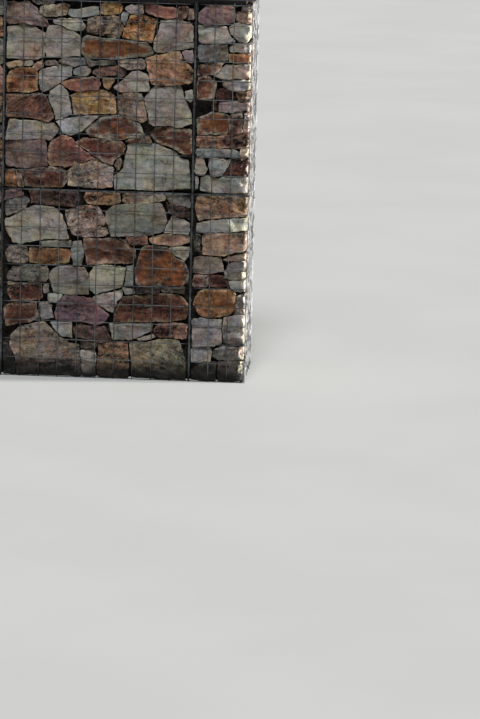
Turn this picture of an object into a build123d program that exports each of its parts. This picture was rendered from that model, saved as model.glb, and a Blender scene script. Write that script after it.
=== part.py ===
"""Gabion wall: stone-filled cages of welded mesh, in two courses under a coping.

Origin at the middle of the wall's foot. X runs along the wall, with the narrow
end cage at +X, Y runs through the wall with the front face at -Y, and Z is up.
All sizes are in millimetres.
"""

import os

from build123d import *

# Cages
bay_length = 1000.0
bay_count = 2
end_cage_length = 300.0
cage_height = 1000.0
wall_depth = 500.0

# Welded mesh: upright wires outside, level wires welded on behind them
wire = 4.5
mesh_pitch = 100.0
wire_stub = 18.0

# Stone fill, which leaves the corners of a cage empty
fill_corner = 14.0

# Coping on a set-back bed, which leaves a shadow gap over the mesh
bed_height = 25.0
bed_setback = 42.0
coping_thickness = 50.0
coping_overhang = 12.0
coping_count = 2
coping_joint = 5.0
coping_arris = 3.0

# Places worked out from the sizes above
wall_length = bay_count * bay_length + end_cage_length
course_count = 2
courses = ("lower", "upper")
wall_height = course_count * cage_height
panel_depth = 2 * wire
fill_depth = wall_depth - 2 * panel_depth
wall_left = -wall_length / 2
wall_right = wall_length / 2
wall_front = -wall_depth / 2
wall_back = wall_depth / 2

# Each cage column: name, left side and length
columns = [
    (f"bay_{number + 1}", wall_left + number * bay_length, bay_length)
    for number in range(bay_count)
]
columns.append(("end_cage", wall_right - end_cage_length, end_cage_length))


def save(piece, name):
    """Name a finished piece and write it to its own file."""
    piece.part.label = name
    export_step(piece.part, f"parts/{name}.step")


def mesh_panel(foot, width, stub):
    """Weld up one flat panel, standing on its foot plane's X axis.

    The foot plane's origin is the panel's lower left corner on its outer face,
    seen from outside, and the plane's normal points out of the wall.
    """
    columns_of_cells = round(width / mesh_pitch)
    rows_of_cells = round(cage_height / mesh_pitch)
    upright_pitch = (width - wire) / columns_of_cells
    level_pitch = (cage_height - wire) / rows_of_cells
    with BuildPart() as panel:
        with BuildSketch(foot):
            with Locations((width / 2, (cage_height + stub) / 2)):
                with GridLocations(upright_pitch, 0, columns_of_cells + 1, 1):
                    Rectangle(wire, cage_height + stub)
        extrude(amount=-wire)
        with BuildSketch(foot.offset(-wire)):
            with Locations((width / 2, cage_height / 2)):
                with GridLocations(0, level_pitch, 1, rows_of_cells + 1):
                    Rectangle(width, wire)
        extrude(amount=-wire)
    return panel


def fill_block(left, right, foot):
    """Stand one cage's stones in for by a block that meets the mesh all round."""
    with BuildPart() as block:
        with Locations(((left + right) / 2, 0, foot + cage_height / 2)):
            Box(right - left, fill_depth, cage_height)
        chamfer(block.edges(), fill_corner)
    return block


os.makedirs("parts", exist_ok=True)

for course, course_name in enumerate(courses):
    course_foot = course * cage_height
    stub = wire_stub if course == course_count - 1 else 0.0

    for column_name, column_left, column_length in columns:
        column_right = column_left + column_length

        front_foot = Plane((column_left, wall_front, course_foot), (1, 0, 0), (0, -1, 0))
        front_mesh = mesh_panel(front_foot, column_length, stub)
        save(front_mesh, f"front_mesh_{column_name}_{course_name}")

        back_foot = Plane((column_right, wall_back, course_foot), (-1, 0, 0), (0, 1, 0))
        back_mesh = mesh_panel(back_foot, column_length, stub)
        save(back_mesh, f"back_mesh_{column_name}_{course_name}")

        fill_left = max(column_left, wall_left + panel_depth)
        fill_right = min(column_right, wall_right - panel_depth)
        stone_fill = fill_block(fill_left, fill_right, course_foot)
        save(stone_fill, f"stone_fill_{column_name}_{course_name}")

    right_foot = Plane((wall_right, -fill_depth / 2, course_foot), (0, 1, 0), (1, 0, 0))
    right_mesh = mesh_panel(right_foot, fill_depth, stub)
    save(right_mesh, f"right_end_mesh_{course_name}")

    left_foot = Plane((wall_left, fill_depth / 2, course_foot), (0, -1, 0), (-1, 0, 0))
    left_mesh = mesh_panel(left_foot, fill_depth, stub)
    save(left_mesh, f"left_end_mesh_{course_name}")

# Bed of mortar between the top stones and the coping
bed_length = wall_length - 2 * bed_setback
bed_depth = wall_depth - 2 * bed_setback
with BuildPart() as coping_bed:
    with Locations((0, 0, wall_height + bed_height / 2)):
        Box(bed_length, bed_depth, bed_height)
save(coping_bed, "coping_bed")

# Coping slabs of equal length, end to end
coping_length = wall_length + 2 * coping_overhang
coping_depth = wall_depth + 2 * coping_overhang
slab_pitch = (coping_length + coping_joint) / coping_count
slab_length = slab_pitch - coping_joint
slab_middle = wall_height + bed_height + coping_thickness / 2
for slab in range(coping_count):
    slab_x = (slab - (coping_count - 1) / 2) * slab_pitch
    with BuildPart() as coping_slab:
        with Locations((slab_x, 0, slab_middle)):
            Box(slab_length, coping_depth, coping_thickness)
        chamfer(coping_slab.edges(), coping_arris)
    save(coping_slab, f"coping_slab_{slab + 1}")
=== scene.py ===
"""Looks of a gabion wall: fitted stones in cages of welded mesh, under a dark coping.

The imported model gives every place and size. This script turns each block of fill into single
stones, each flat panel into round wires with their welds, and adds the spirals that bind the
cages together. All lengths are in metres.
"""

import math

import bpy
import numpy as np
from mathutils import Matrix, Vector
from mathutils.geometry import convex_hull_2d, delaunay_2d_cdt


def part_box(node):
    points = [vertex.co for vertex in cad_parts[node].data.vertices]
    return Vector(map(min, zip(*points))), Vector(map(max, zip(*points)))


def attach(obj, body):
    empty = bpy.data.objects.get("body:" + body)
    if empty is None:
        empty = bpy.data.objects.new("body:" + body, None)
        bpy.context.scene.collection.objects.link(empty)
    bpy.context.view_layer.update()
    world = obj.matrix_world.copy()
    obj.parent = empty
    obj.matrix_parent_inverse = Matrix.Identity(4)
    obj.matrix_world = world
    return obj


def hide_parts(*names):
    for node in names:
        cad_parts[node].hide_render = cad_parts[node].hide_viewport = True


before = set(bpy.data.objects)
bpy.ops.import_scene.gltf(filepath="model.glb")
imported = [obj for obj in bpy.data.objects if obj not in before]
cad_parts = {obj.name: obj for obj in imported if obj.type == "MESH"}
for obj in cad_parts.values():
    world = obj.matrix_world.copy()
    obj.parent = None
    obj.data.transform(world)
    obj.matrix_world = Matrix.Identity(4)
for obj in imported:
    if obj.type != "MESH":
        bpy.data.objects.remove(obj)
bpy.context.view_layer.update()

UP = np.array((0.0, 0.0, 1.0))
TINY = 1e-9
SAME_POINT = 1e-6

# Cages, from left to right and from the foot up, and the half length and depth of them all
COLUMNS = ("bay_1", "bay_2", "end_cage")
COURSES = ("lower", "upper")
HALF_LENGTH = 1.15
HALF_DEPTH = 0.25

# One seed for each thing that is left to chance
SEED = 4711
MESH_SEED = SEED + 200
BINDER_SEED = SEED + 300
JOINT_SEED = SEED + 400

# Mesh: a cage has ten openings from seam to seam. Wander is drawn by waves from a shortest
# to a longest length, and sets in from the edges of a panel.
MESH_OPENING = 0.1
OPENINGS = 10
WIRE = 0.0045
WIRE_SIDES = 8
WIRE_WANDER = 0.0007
WIRE_WAVES = (0.15, 0.6, 8)
WANDER_ONSET = 8
PANEL_BULGE = 0.0018
STOP_GAP = 0.003
WELD_SIDES = 6
WELD_REACH = 0.0034
WELD_HEIGHT = 0.0021

# Spirals that bind the edges of the cages, and how far in they lie, in wires
SPIRAL_WIRE = 0.0026
SPIRAL_RADIUS = 0.0065
SPIRAL_PITCH = 0.05
SPIRAL_STEPS = 12
SPIRAL_SIDES = 6
SPIRAL_SLACK = 0.06
SLACK_RATE = 0.37
SPIRAL_END_GAP = 0.012
CORNER_END_INSET = 0.75
CORNER_FACE_INSET = 1.55
LOOP_INSET = 0.3
LOOP_HALF_WIDTH = 0.013
LOOP_HALF_LENGTH = 0.031
LOOP_STEPS = 26
LOOP_PINCH = 0.45

# Net of points over the face of a stone, its jitter and its margin counted in grains
PHOTO_GRAIN = 0.0082
OTHER_GRAIN = 0.0105
ROW_GRAINS = 0.866
NET_JITTER = 0.17
NET_MARGIN = 0.68
FEWEST_POINTS = 12

# Outlines: joints, growth towards the neighbours, corners and chips
CAGE_MARGIN = 0.0015
SEAM_GAP = (0.010, 0.006)
JOINT = (0.003, 0.009)
JOINT_WANDER = 0.7
JOINT_WAVES = (0.04, 0.16)
JOINT_LIMITS = (0.25, 2)
LARGEST_GROWTH = 0.009
GROWTH_ROUNDS = 5
GROWTH_STEP = 0.012
GROWTH_CHANGE = 0.002
TRACE_STEP = 0.004
NEIGHBOUR_REACH = 0.04
STRAIGHTNESS = 0.004
SHARPEST_CORNER = 0.6
CORNER_RADIUS = (0.001, 0.004)
CORNER_SHARE = 0.4
CORNER_STOPS = (0.0, 0.35, 0.65, 1.0)
CHIP_LENGTH = 0.022
CHIP_FADE = 0.7
CHIP_HEIGHT = 0.0015
CHIP_GIRTHS = 0.03
HULL_SHARE = 0.95

# Body of a stone: its rounded edge, its sides and how deep it goes
EDGE_RADIUS = (0.0015, 0.0055)
EDGE_GIRTHS = 0.22
EDGE_ANGLES = (0, 32, 62, 90)
EDGE_ROOM = 0.4
SPINE_SHARE = 0.9
BODY_DEPTH = (0.072, 0.098)
BODY_RINGS = 3
BODY_CURVE = 1.5
TAPER = (0.05, 0.13)
TAPER_CURVE = 1.3
SIDE_WAVES = (0.03, 0.12)
SIDE_BUMP = 0.0016
BACK_EDGE = 0.005
BACK_SHARE = 0.15

# Relief of a face: its tilt, waves, split cuts and one ledge
FACE_CLEARANCE = (0.0004, 0.0036)
FACE_TILT = 0.07
TILT_REACH = 0.08
BROAD_WAVES = (0.05, 0.16)
BROAD_HEIGHT = (0.0016, 0.0046)
SMALL_WAVES = (0.022, 0.06)
SMALL_HEIGHT = (0.0005, 0.0016)
CUT_COUNT = (2, 5)
CUT_PLACE = (0.2, 0.75)
CUT_SLOPE = (0.12, 0.55)
CUT_WANDER = 0.004
DEEPEST_CUT = 0.01
LEDGE_TURN = 0.5
LEDGE_HEIGHT = (0.002, 0.006)
LEDGE_CHANCE = 0.65
LEDGE_PLACE = (-0.4, 0.4)
LEDGE_WANDER = 0.008
LEDGE_WIDTH = 0.004
LEDGE_LIMIT = 30

# Quoins, the stones at the corners of the wall, and the ends of the wall between them
QUOIN_REACH = 0.016
QUOIN_OVERLAP = 0.02
QUOIN_MARGIN = 0.008
QUOIN_DEPTH = (0.09, 0.3)
QUOIN_RING = 0.017
QUOIN_RADIUS = (0.007, 0.018)
QUOIN_GIRTHS = 0.3
QUOIN_ROOM = 0.65
CORNER_REACH = 0.004
FLANK_WIDTH = (-0.01, 0.018)
FLANK_DEPTH = 0.02
FLANK_SLOPE = (0.4, 1.3)
FLANK_WANDER = 0.5
FLANK_LIMITS = (0.1, 2.2)
END_EDGE = 0.02
END_DEPTH = 0.466
END_REMAINDER = 0.09
END_JOINT = 0.006
END_LINE_STEPS = 200
END_LINE_WINDOW = 9
SHALLOWEST_QUOIN = 0.03
SMALLEST_END_STONE = 0.0014
THINNEST_END_STONE = 0.022

# Random stones of the unseen sides: how a stretch of wall is split into their faces
STONE_AREA = 0.031
AREA_SPREAD = 0.42
THINNEST_STONE = 0.03
LEVEL_BIAS = (1.1, 2.1)
SLAB_CHANCE = 0.3
SLAB_SHARE = (0.17, 0.27)
SPLIT_SHARE = (0.36, 0.64)
LEVEL_TILT = 0.08
UPRIGHT_TILT = 0.15
DRAWN_BACK = (0.0022, 0.0065)
KNOCK_CHANCE = 0.4
KNOCK_TURN = 0.35
KNOCK_SHARE = 0.22
KNOCK_SIZE = (0.004, 0.026)
THINNEST_SLIVER = 0.016
BEND = 0.007
BEND_STEP = 0.05
BEND_WAVES = (0.2, 0.5, 8)

# Rubble behind the stones, coloured dark as painted shade in the gaps
CORE_DEPTH = 0.062
CORE_CLEARANCE = 0.004
CORE_GRAIN = 0.045
CORE_ROUGHNESS = 0.006
CORE_TRAITS = (0, 0, 0.5)
SHADED_CORE_COLOUR = (60, 57, 55)

# What the stones' finish reads at each point of their mesh: the layer's type and its field
MARKS = {
    "tone": ("FLOAT_COLOR", "color"),
    "stain": ("FLOAT_COLOR", "color"),
    "rim": ("FLOAT_COLOR", "color"),
    "traits": ("FLOAT_VECTOR", "vector"),
    "grain": ("FLOAT_VECTOR", "vector"),
    "edge": ("FLOAT", "value"),
}

# Kinds of stone: colour of the body, of its stains and of its rim, each in 0 to 255, then
# how much stain, rim and speckle a stone of that kind has. Most of these colours were written
# by a scratch program: it scaled colours chosen by eye towards averages that it measured over
# the stones of each kind in the photograph.
KINDS = {
    "chalk": ((159, 158, 154), (138, 131, 122), (168, 166, 161), 0.35, 0.3, 0.2),
    "cloud": ((137, 137, 135), (116, 105, 99), (155, 154, 146), 0.35, 0.35, 0.3),
    "pale": ((152, 149, 145), (130, 120, 108), (167, 163, 156), 0.4, 0.35, 0.35),
    "celadon": ((145, 148, 139), (124, 124, 104), (164, 164, 148), 0.25, 0.4, 0.15),
    "sand": ((147, 142, 134), (143, 121, 111), (164, 158, 147), 0.4, 0.35, 0.2),
    "stone": ((124, 123, 118), (109, 95, 83), (147, 143, 134), 0.35, 0.4, 0.2),
    "buff": ((137, 127, 118), (119, 96, 82), (156, 145, 130), 0.5, 0.4, 0.5),
    "pink": ((116, 104, 103), (126, 121, 120), (137, 126, 122), 0.55, 0.5, 0.35),
    "mauve": ((113, 93, 94), (130, 113, 109), (136, 121, 113), 0.6, 0.45, 0.3),
    "rose": ((135, 96, 88), (106, 69, 63), (173, 144, 129), 0.6, 0.5, 0.3),
    "grey": ((105, 105, 104), (86, 80, 77), (128, 126, 121), 0.45, 0.3, 0.5),
    "blue": ((133, 134, 135), (110, 105, 105), (149, 149, 146), 0.35, 0.3, 0.3),
    "speckle": ((144, 131, 123), (93, 72, 65), (168, 153, 138), 0.5, 0.3, 1.0),
    "ochre": ((160, 124, 79), (180, 158, 133), (173, 149, 111), 0.5, 0.45, 0.35),
    "amber": ((123, 90, 64), (96, 60, 43), (146, 122, 94), 0.5, 0.5, 0.6),
    "tan": ((136, 112, 92), (113, 80, 63), (159, 140, 118), 0.5, 0.45, 0.6),
    "orange": ((143, 95, 54), (154, 130, 100), (178, 150, 116), 0.6, 0.5, 0.7),
    "rust": ((113, 70, 42), (84, 60, 54), (144, 140, 129), 0.6, 0.7, 0.4),
    "brick": ((91, 60, 48), (64, 40, 36), (142, 129, 116), 0.5, 0.6, 0.65),
    "maroon": ((57, 33, 30), (86, 56, 50), (97, 72, 65), 0.45, 0.4, 0.6),
    "plum": ((98, 81, 87), (74, 58, 63), (126, 106, 103), 0.6, 0.5, 0.55),
    "purple": ((82, 64, 62), (59, 46, 42), (104, 85, 79), 0.5, 0.5, 0.7),
    "umber": ((86, 57, 50), (117, 93, 80), (127, 105, 90), 0.5, 0.5, 0.7),
    "slate": ((57, 52, 51), (44, 38, 35), (76, 73, 68), 0.45, 0.6, 0.7),
    "dun": ((112, 106, 99), (117, 100, 86), (138, 130, 120), 0.5, 0.35, 0.5),
    "loam": ((91, 94, 94), (70, 56, 52), (117, 113, 106), 0.7, 0.6, 0.8),
    "olive": ((122, 121, 104), (102, 95, 78), (146, 141, 122), 0.45, 0.3, 0.5),
}
STONE_SHADE = 0.75
TONE_SPREAD = 0.07
TINT_SPREAD = TONE_SPREAD / 3
TRAIT_SPREADS = ((0.7, 1.3), (0.6, 1.3), (0.7, 1.3))
BEDDING_TILT = 0.25
GRAIN_SHIFT = 40

# Noise of the finishes, by what it draws: waves to a metre, detail, roughness, distortion
NOISE = {
    "clouds": (12.0, 5.0, 0.6, 0.7),
    "blots": (40.0, 4.0, 0.62, 0.4),
    "grit": (110.0, 3.0, 0.65, 0.0),
    "grains": (240.0, 2.0, 0.7, 0.0),
    "bands": (1.0, 5.0, 0.62, 0.8),
    "iron": (31.0, 5.0, 0.66, 0.8),
    "dust": (22.0, 6.0, 0.7, 0.5),
    "ragged": (34.0, 5.0, 0.68, 0.0),
    "rim": (11.0, 2.0, 0.5, 0.0),
    "warmth": (9.0, 5.0, 0.64, 0.6),
    "blush": (7.5, 5.0, 0.64, 0.6),
    "broad": (6.0, 3.0, 0.5, 0.0),
    "ripple": (9.0, 4.0, 0.55, 0.0),
    "spangle": (160.0, 3.0, 0.6, 0.0),
    "rust": (11.0, 4.0, 0.6, 0.0),
    "worn": (5.0, 4.0, 0.65, 0.0),
    "grime": (24.0, 4.0, 0.6, 0.0),
    "flecks": (320.0, 2.0, 0.6, 0.0),
    "slab": (9.0, 7.0, 0.68, 0.0),
    "saw": (1.0, 2.0, 0.5, 0.0),
    "drips": (1.0, 4.0, 0.6, 0.0),
    "sand": (240.0, 3.0, 0.7, 0.0),
    "bed": (14.0, 5.0, 0.6, 0.0),
    "floor": (0.8, 3.0, 0.5, 0.0),
}

# Waves to a metre along, through and up, for the noises that are drawn out one way
STRETCH = {
    "bands": (5.0, 44.0, 24.0),
    "saw": (3.0, 260.0, 420.0),
    "drips": (22.0, 22.0, 2.5),
}

# Cells of the finishes: how many to a metre, and what is measured in them
CELLS = {
    "cracks": (17.0, "DISTANCE_TO_EDGE"),
    "specks": (120.0, "F1"),
    "pits": (150.0, "SMOOTH_F1"),
    "pocks": (75.0, "F1"),
}
CRACK_WARP = (30.0, 0.012)

# Tints between which a stone's colour wanders, in large patches and in blots
PATCH_TINTS = {
    "warmth": ((0.95, 0.99, 1.06, 1), (1.09, 1.0, 0.85, 1)),
    "blush": ((0.97, 1.02, 0.96, 1), (1.08, 0.96, 1.01, 1)),
}
BLOT_TINTS = ((0.96, 1.0, 1.07, 1), (1.07, 1.0, 0.88, 1))

# Colours of what lies on the stones, of the painted highlight on their corner flanks, and of their darker
# foot
IRON_BLOT = (58, 42, 36)
IRON_SPECK = (56, 42, 36)
SUNLIT_FLANK_WHITE = (226, 220, 206)
CRACK = (46, 38, 33)
FOOT_DARK = (16, 16, 13)

# Pairs of colours, or one colour, of the wires, the coping, its bed and the floor
DULL_ZINC = ((62, 65, 67), (86, 89, 90))
FRESH_ZINC = ((112, 117, 119), (136, 141, 143))
# Painted highlight: sunlit zinc of the wall's ends, light and dark
SUNLIT_ZINC = ((190, 193, 195), (88, 88, 89))
WIRE_RUST = (100, 80, 64)
COPING = ((64, 65, 68), (80, 81, 82))
COPING_FLECK = (138, 138, 136)
COPING_DRIP = (52, 50, 47)
# The bed's mortar is coloured near black: painted shade under the coping's overhang
MORTAR_IN_SHADE = ((46, 44, 42), (64, 61, 57))
MORTAR_SAND_IN_SHADE = (34, 32, 30)
FLOOR = ((189, 189, 186), (191, 191, 188))
FLOOR_REACH = 220.0

# Camera, worked out from the mesh crossings of the photograph; angles are in degrees
CAMERA_PLACE = (2.261, -20.942, 4.199)
CAMERA_YAW = 3.153
CAMERA_PITCH = 11.114
CAMERA_ROLL = 1.382
CAMERA_REACH = 1000.0
FOCAL_PIXELS = 4000
PHOTO_HEIGHT = 719
SENSOR_HEIGHT = 36.0

# Light: the sky all round, the brighter sky overhead, and a low sun on the end of the wall
SKY_COLOUR = (0.93, 0.96, 1.0)
SKY_STRENGTH = 0.13
ABOVE_STRENGTH = 2.7
ABOVE_SPREAD = 18.0
ABOVE_AZIMUTH = -86.0
ABOVE_HEIGHT = 53.0
KEY_COLOUR = (1.0, 0.97, 0.92)
KEY_STRENGTH = 8.5
KEY_SPREAD = 5.0
KEY_AZIMUTH = 7.0
KEY_HEIGHT = 10.0

# Stones of the photographed cages: the kind of stone, then the corners of its face. Corners
# were read off the mesh. They are counted in mesh openings, to the right from the seam
# at the photograph's left edge and down from the top wire. Kinds were chosen by eye, and some
# were changed after comparing average colours measured in the photograph and in a render.
STONES_READ = {
    "bay_2_upper": [
        ("mauve", (0.05, 0.25), (1.35, 0.22), (1.62, 0.5), (1.8, 0.8), (2.05, 1.0), (2.25, 1.35),
         (1.9, 1.38), (1.1, 1.22), (0.2, 1.38), (0.07, 1.2)),
        ("grey", (1.32, 0.12), (2.6, 0.1), (2.45, 0.2), (1.9, 0.28), (1.45, 0.2)),
        ("buff", (1.95, 0.33), (3.1, 0.27), (3.28, 0.35), (3.2, 0.84), (1.85, 0.86), (1.78, 0.7)),
        ("cloud", (3.4, 0.6), (4.85, 0.36), (4.92, 0.68), (3.5, 0.88), (3.36, 0.75)),
        ("ochre", (4.97, 0.28), (5.2, 0.17), (6.0, 0.17), (6.15, 0.35), (6.0, 0.65), (5.7, 0.74),
         (5.0, 0.68)),
        ("speckle", (4.42, 1.0), (4.7, 0.85), (5.9, 0.82), (6.03, 1.1), (6.12, 1.35), (5.98, 1.82),
         (5.6, 1.88), (4.95, 1.85), (4.35, 1.7), (4.28, 1.4)),
        ("pale", (2.6, 1.1), (2.95, 0.98), (3.9, 1.0), (4.05, 1.2), (4.2, 1.38), (4.05, 1.54),
         (3.55, 1.5), (2.6, 1.22)),
        ("sand", (0.1, 1.5), (0.55, 1.58), (0.95, 1.33), (1.5, 1.52), (2.0, 1.85), (2.02, 3.0),
         (1.6, 3.1), (0.15, 3.1), (0.08, 2.2)),
        ("chalk", (2.3, 1.52), (2.6, 1.34), (3.0, 1.45), (3.9, 1.9), (3.98, 2.1), (3.9, 2.87),
         (3.5, 2.95), (2.25, 2.95), (2.15, 2.6), (2.2, 1.9)),
        ("rust", (4.12, 2.05), (4.35, 1.84), (5.2, 1.97), (6.4, 2.02), (7.4, 2.22), (7.72, 2.5),
         (7.7, 2.74), (7.0, 2.85), (6.3, 2.95), (5.6, 3.0), (4.3, 3.0), (4.08, 2.75)),
        ("orange", (6.5, 0.85), (6.68, 0.68), (7.1, 0.75), (7.85, 0.95), (7.8, 1.4), (7.62, 2.04),
         (7.0, 1.97), (6.18, 1.86), (6.32, 1.5), (6.42, 1.1)),
        ("blue", (6.1, 0.72), (6.3, 0.52), (6.43, 0.65), (6.32, 1.25), (6.12, 1.05)),
        ("pale", (6.27, 0.4), (6.6, 0.22), (7.15, 0.2), (7.2, 0.55), (6.95, 0.62), (6.45, 0.55)),
        ("rose", (7.3, 0.2), (7.75, 0.18), (8.3, 0.28), (8.95, 0.35), (8.98, 0.72), (8.6, 0.78),
         (8.0, 0.68), (7.5, 0.55), (7.3, 0.45)),
        ("purple", (9.12, 0.25), (9.45, 0.18), (9.6, 0.4), (9.5, 0.72), (9.15, 0.82)),
        ("mauve", (9.62, 0.3), (9.86, 0.35), (9.9, 0.75), (9.55, 0.88)),
        ("sand", (8.2, 1.0), (8.6, 0.88), (9.5, 0.93), (9.75, 1.2), (9.85, 1.9), (9.86, 2.28),
         (9.4, 2.38), (8.7, 2.52), (8.1, 2.68), (7.86, 2.5), (7.9, 1.9), (8.12, 1.6)),
        ("pink", (9.33, 2.55), (9.86, 2.42), (9.92, 3.05), (9.75, 3.14), (9.45, 2.95)),
        ("tan", (7.38, 2.97), (7.9, 2.8), (8.6, 2.62), (9.13, 2.57), (9.28, 2.97), (9.6, 3.22),
         (9.88, 3.55), (9.86, 4.1), (9.0, 4.22), (8.2, 4.3), (7.75, 4.2), (7.65, 3.7), (7.52, 3.3)),
        ("tan", (0.08, 3.47), (0.6, 3.3), (1.02, 3.22), (1.04, 3.45), (0.3, 3.6)),
        ("chalk", (1.08, 3.25), (1.5, 3.2), (1.46, 3.43), (1.1, 3.48)),
        ("buff", (1.5, 3.6), (1.62, 3.45), (1.92, 3.3), (1.98, 3.52), (1.75, 3.68)),
        ("buff", (2.05, 3.32), (2.7, 3.17), (2.8, 3.36), (2.15, 3.5)),
        ("cloud", (2.85, 3.2), (3.1, 3.08), (4.1, 3.08), (4.22, 3.3), (4.0, 3.42), (3.3, 3.38)),
        ("grey", (4.36, 3.16), (5.8, 3.1), (5.84, 3.33), (4.4, 3.4)),
        ("buff", (5.88, 3.12), (6.4, 3.02), (7.28, 2.98), (7.45, 3.3), (7.1, 3.53), (6.5, 3.48),
         (6.1, 3.32)),
        ("amber", (0.6, 3.7), (1.5, 3.66), (1.72, 3.95), (1.7, 4.75), (1.3, 4.88), (0.2, 4.92),
         (0.1, 4.4), (0.3, 3.95)),
        ("pale", (1.87, 3.72), (2.3, 3.6), (3.2, 3.42), (3.5, 3.52), (3.5, 3.95), (3.08, 4.2),
         (2.6, 4.55), (2.15, 4.87), (1.97, 4.75), (1.82, 4.2)),
        ("cloud", (3.62, 3.6), (4.4, 3.5), (4.55, 3.7), (4.4, 3.88), (3.9, 3.98), (3.62, 3.85)),
        ("purple", (4.64, 3.65), (5.0, 3.5), (6.1, 3.42), (6.4, 3.72), (6.3, 3.9), (5.0, 3.96),
         (4.62, 3.84)),
        ("rose", (3.1, 4.38), (3.9, 4.1), (4.8, 4.05), (4.98, 4.3), (4.85, 4.66), (4.0, 4.74),
         (3.3, 4.62)),
        ("tan", (5.18, 4.08), (5.75, 4.04), (5.62, 4.35), (5.47, 4.6), (5.3, 4.5)),
        ("sand", (5.8, 4.52), (6.1, 4.3), (6.5, 3.87), (6.9, 3.6), (7.33, 3.75), (7.5, 4.0),
         (7.55, 4.6), (7.0, 4.7), (6.1, 4.7)),
        ("umber", (0.12, 5.05), (2.12, 5.0), (2.28, 5.3), (2.52, 5.75), (2.55, 6.2), (2.35, 6.38),
         (1.6, 6.22), (0.12, 6.18)),
        ("chalk", (2.42, 4.8), (2.9, 4.53), (3.27, 4.72), (3.4, 5.2), (3.55, 5.88), (3.1, 6.15),
         (2.8, 6.22), (2.58, 5.7), (2.3, 5.15)),
        ("ochre", (3.52, 5.05), (4.2, 4.82), (5.3, 4.74), (5.72, 5.0), (5.86, 5.5), (5.8, 5.83),
         (5.0, 5.88), (3.72, 5.92), (3.58, 5.6)),
        ("buff", (6.05, 4.97), (6.5, 4.84), (7.2, 4.84), (7.3, 5.3), (7.46, 6.15), (7.2, 6.24),
         (6.1, 5.95), (6.02, 5.4)),
        ("sand", (7.5, 4.92), (7.93, 4.44), (8.6, 4.5), (9.15, 4.32), (9.35, 4.8), (9.5, 5.3),
         (9.8, 6.0), (9.84, 6.25), (9.2, 6.46), (8.0, 6.46), (7.72, 6.3), (7.56, 5.6), (7.44, 5.1)),
        ("blue", (9.58, 4.68), (9.9, 4.55), (9.95, 5.0), (9.78, 5.1), (9.6, 4.95)),
        ("pale", (0.35, 6.42), (1.5, 6.45), (2.6, 6.6), (2.92, 6.75), (2.7, 7.02), (2.5, 7.32),
         (0.8, 7.38), (0.1, 7.48), (0.2, 7.0)),
        ("chalk", (2.83, 6.44), (3.6, 6.24), (4.4, 6.04), (4.9, 6.08), (4.55, 6.42), (4.18, 6.78),
         (3.5, 7.06), (3.12, 6.93)),
        ("rust", (4.37, 6.85), (4.7, 6.5), (5.2, 6.15), (5.9, 6.02), (6.7, 6.23), (7.1, 6.42),
         (7.33, 6.9), (6.9, 7.04), (6.2, 7.2), (5.4, 7.24), (4.6, 7.1)),
        ("brick", (7.72, 6.92), (8.0, 6.58), (8.6, 6.53), (9.86, 6.7), (9.88, 7.85), (9.5, 7.84),
         (9.0, 7.66), (8.3, 7.42), (7.95, 7.18)),
        ("rust", (6.5, 7.3), (7.1, 7.08), (7.58, 7.1), (7.75, 7.33), (7.2, 7.36)),
        ("mauve", (0.15, 7.62), (0.6, 7.5), (1.4, 7.44), (2.15, 7.42), (2.25, 7.8), (2.28, 8.72),
         (1.3, 8.82), (0.2, 8.92), (0.06, 8.8), (0.2, 8.2)),
        ("rose", (2.52, 7.52), (3.1, 7.2), (3.52, 7.27), (3.8, 7.63), (4.3, 7.97), (4.72, 8.28),
         (4.2, 8.46), (3.6, 8.66), (3.0, 8.76), (2.42, 8.68), (2.37, 8.0)),
        ("brick", (3.88, 7.5), (4.2, 7.3), (5.0, 7.32), (6.1, 7.35), (6.42, 7.7), (6.3, 7.95),
         (5.88, 8.2), (5.74, 8.55), (5.35, 8.43), (5.0, 8.2), (4.5, 7.93)),
        ("buff", (5.95, 8.35), (6.18, 8.22), (6.24, 8.5), (6.05, 8.78), (5.88, 8.65)),
        ("celadon", (6.55, 7.55), (6.8, 7.44), (7.6, 7.45), (8.6, 7.63), (9.0, 7.87), (9.25, 8.25),
         (9.65, 8.32), (9.72, 8.9), (9.84, 9.7), (8.5, 9.8), (7.0, 9.78), (5.97, 9.82),
         (5.87, 9.25), (6.4, 8.82), (6.45, 8.2)),
        ("amber", (0.12, 9.1), (0.52, 9.0), (0.68, 9.4), (0.74, 9.88), (0.15, 9.88)),
        ("brick", (0.66, 9.02), (0.9, 9.08), (1.02, 9.5), (1.03, 9.86), (0.86, 9.88), (0.78, 9.4)),
        ("brick", (1.02, 9.05), (2.0, 8.88), (3.1, 8.85), (3.28, 9.2), (3.32, 9.6), (3.1, 9.83),
         (1.12, 9.83)),
        ("buff", (3.5, 9.0), (3.75, 8.66), (4.4, 8.53), (4.9, 8.38), (5.3, 8.6), (5.72, 8.77),
         (5.76, 9.2), (5.68, 9.73), (5.2, 9.8), (3.5, 9.72), (3.43, 9.3)),
    ],
    "end_cage_upper": [
        ("mauve", (10.15, 0.5), (10.5, 0.2), (11.0, 0.1), (11.8, 0.1), (11.98, 0.5), (11.93, 0.93),
         (11.5, 1.03), (10.5, 1.06), (10.1, 0.95)),
        ("mauve", (12.12, 0.45), (12.95, 0.36), (12.95, 1.0), (12.4, 0.92), (12.15, 0.8)),
        ("grey", (12.4, 0.08), (12.95, 0.08), (12.95, 0.3), (12.5, 0.32)),
        ("chalk", (10.15, 1.17), (11.5, 1.15), (11.68, 1.5), (11.97, 1.93), (11.6, 2.03),
         (10.3, 2.06), (10.1, 1.7)),
        ("cloud", (11.8, 1.2), (11.98, 1.0), (12.4, 1.03), (12.95, 1.12), (12.97, 1.72),
         (12.6, 1.92), (12.2, 1.8), (11.85, 1.45)),
        ("grey", (10.15, 2.22), (11.6, 2.16), (11.65, 2.9), (10.3, 2.94), (10.14, 2.7)),
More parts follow.
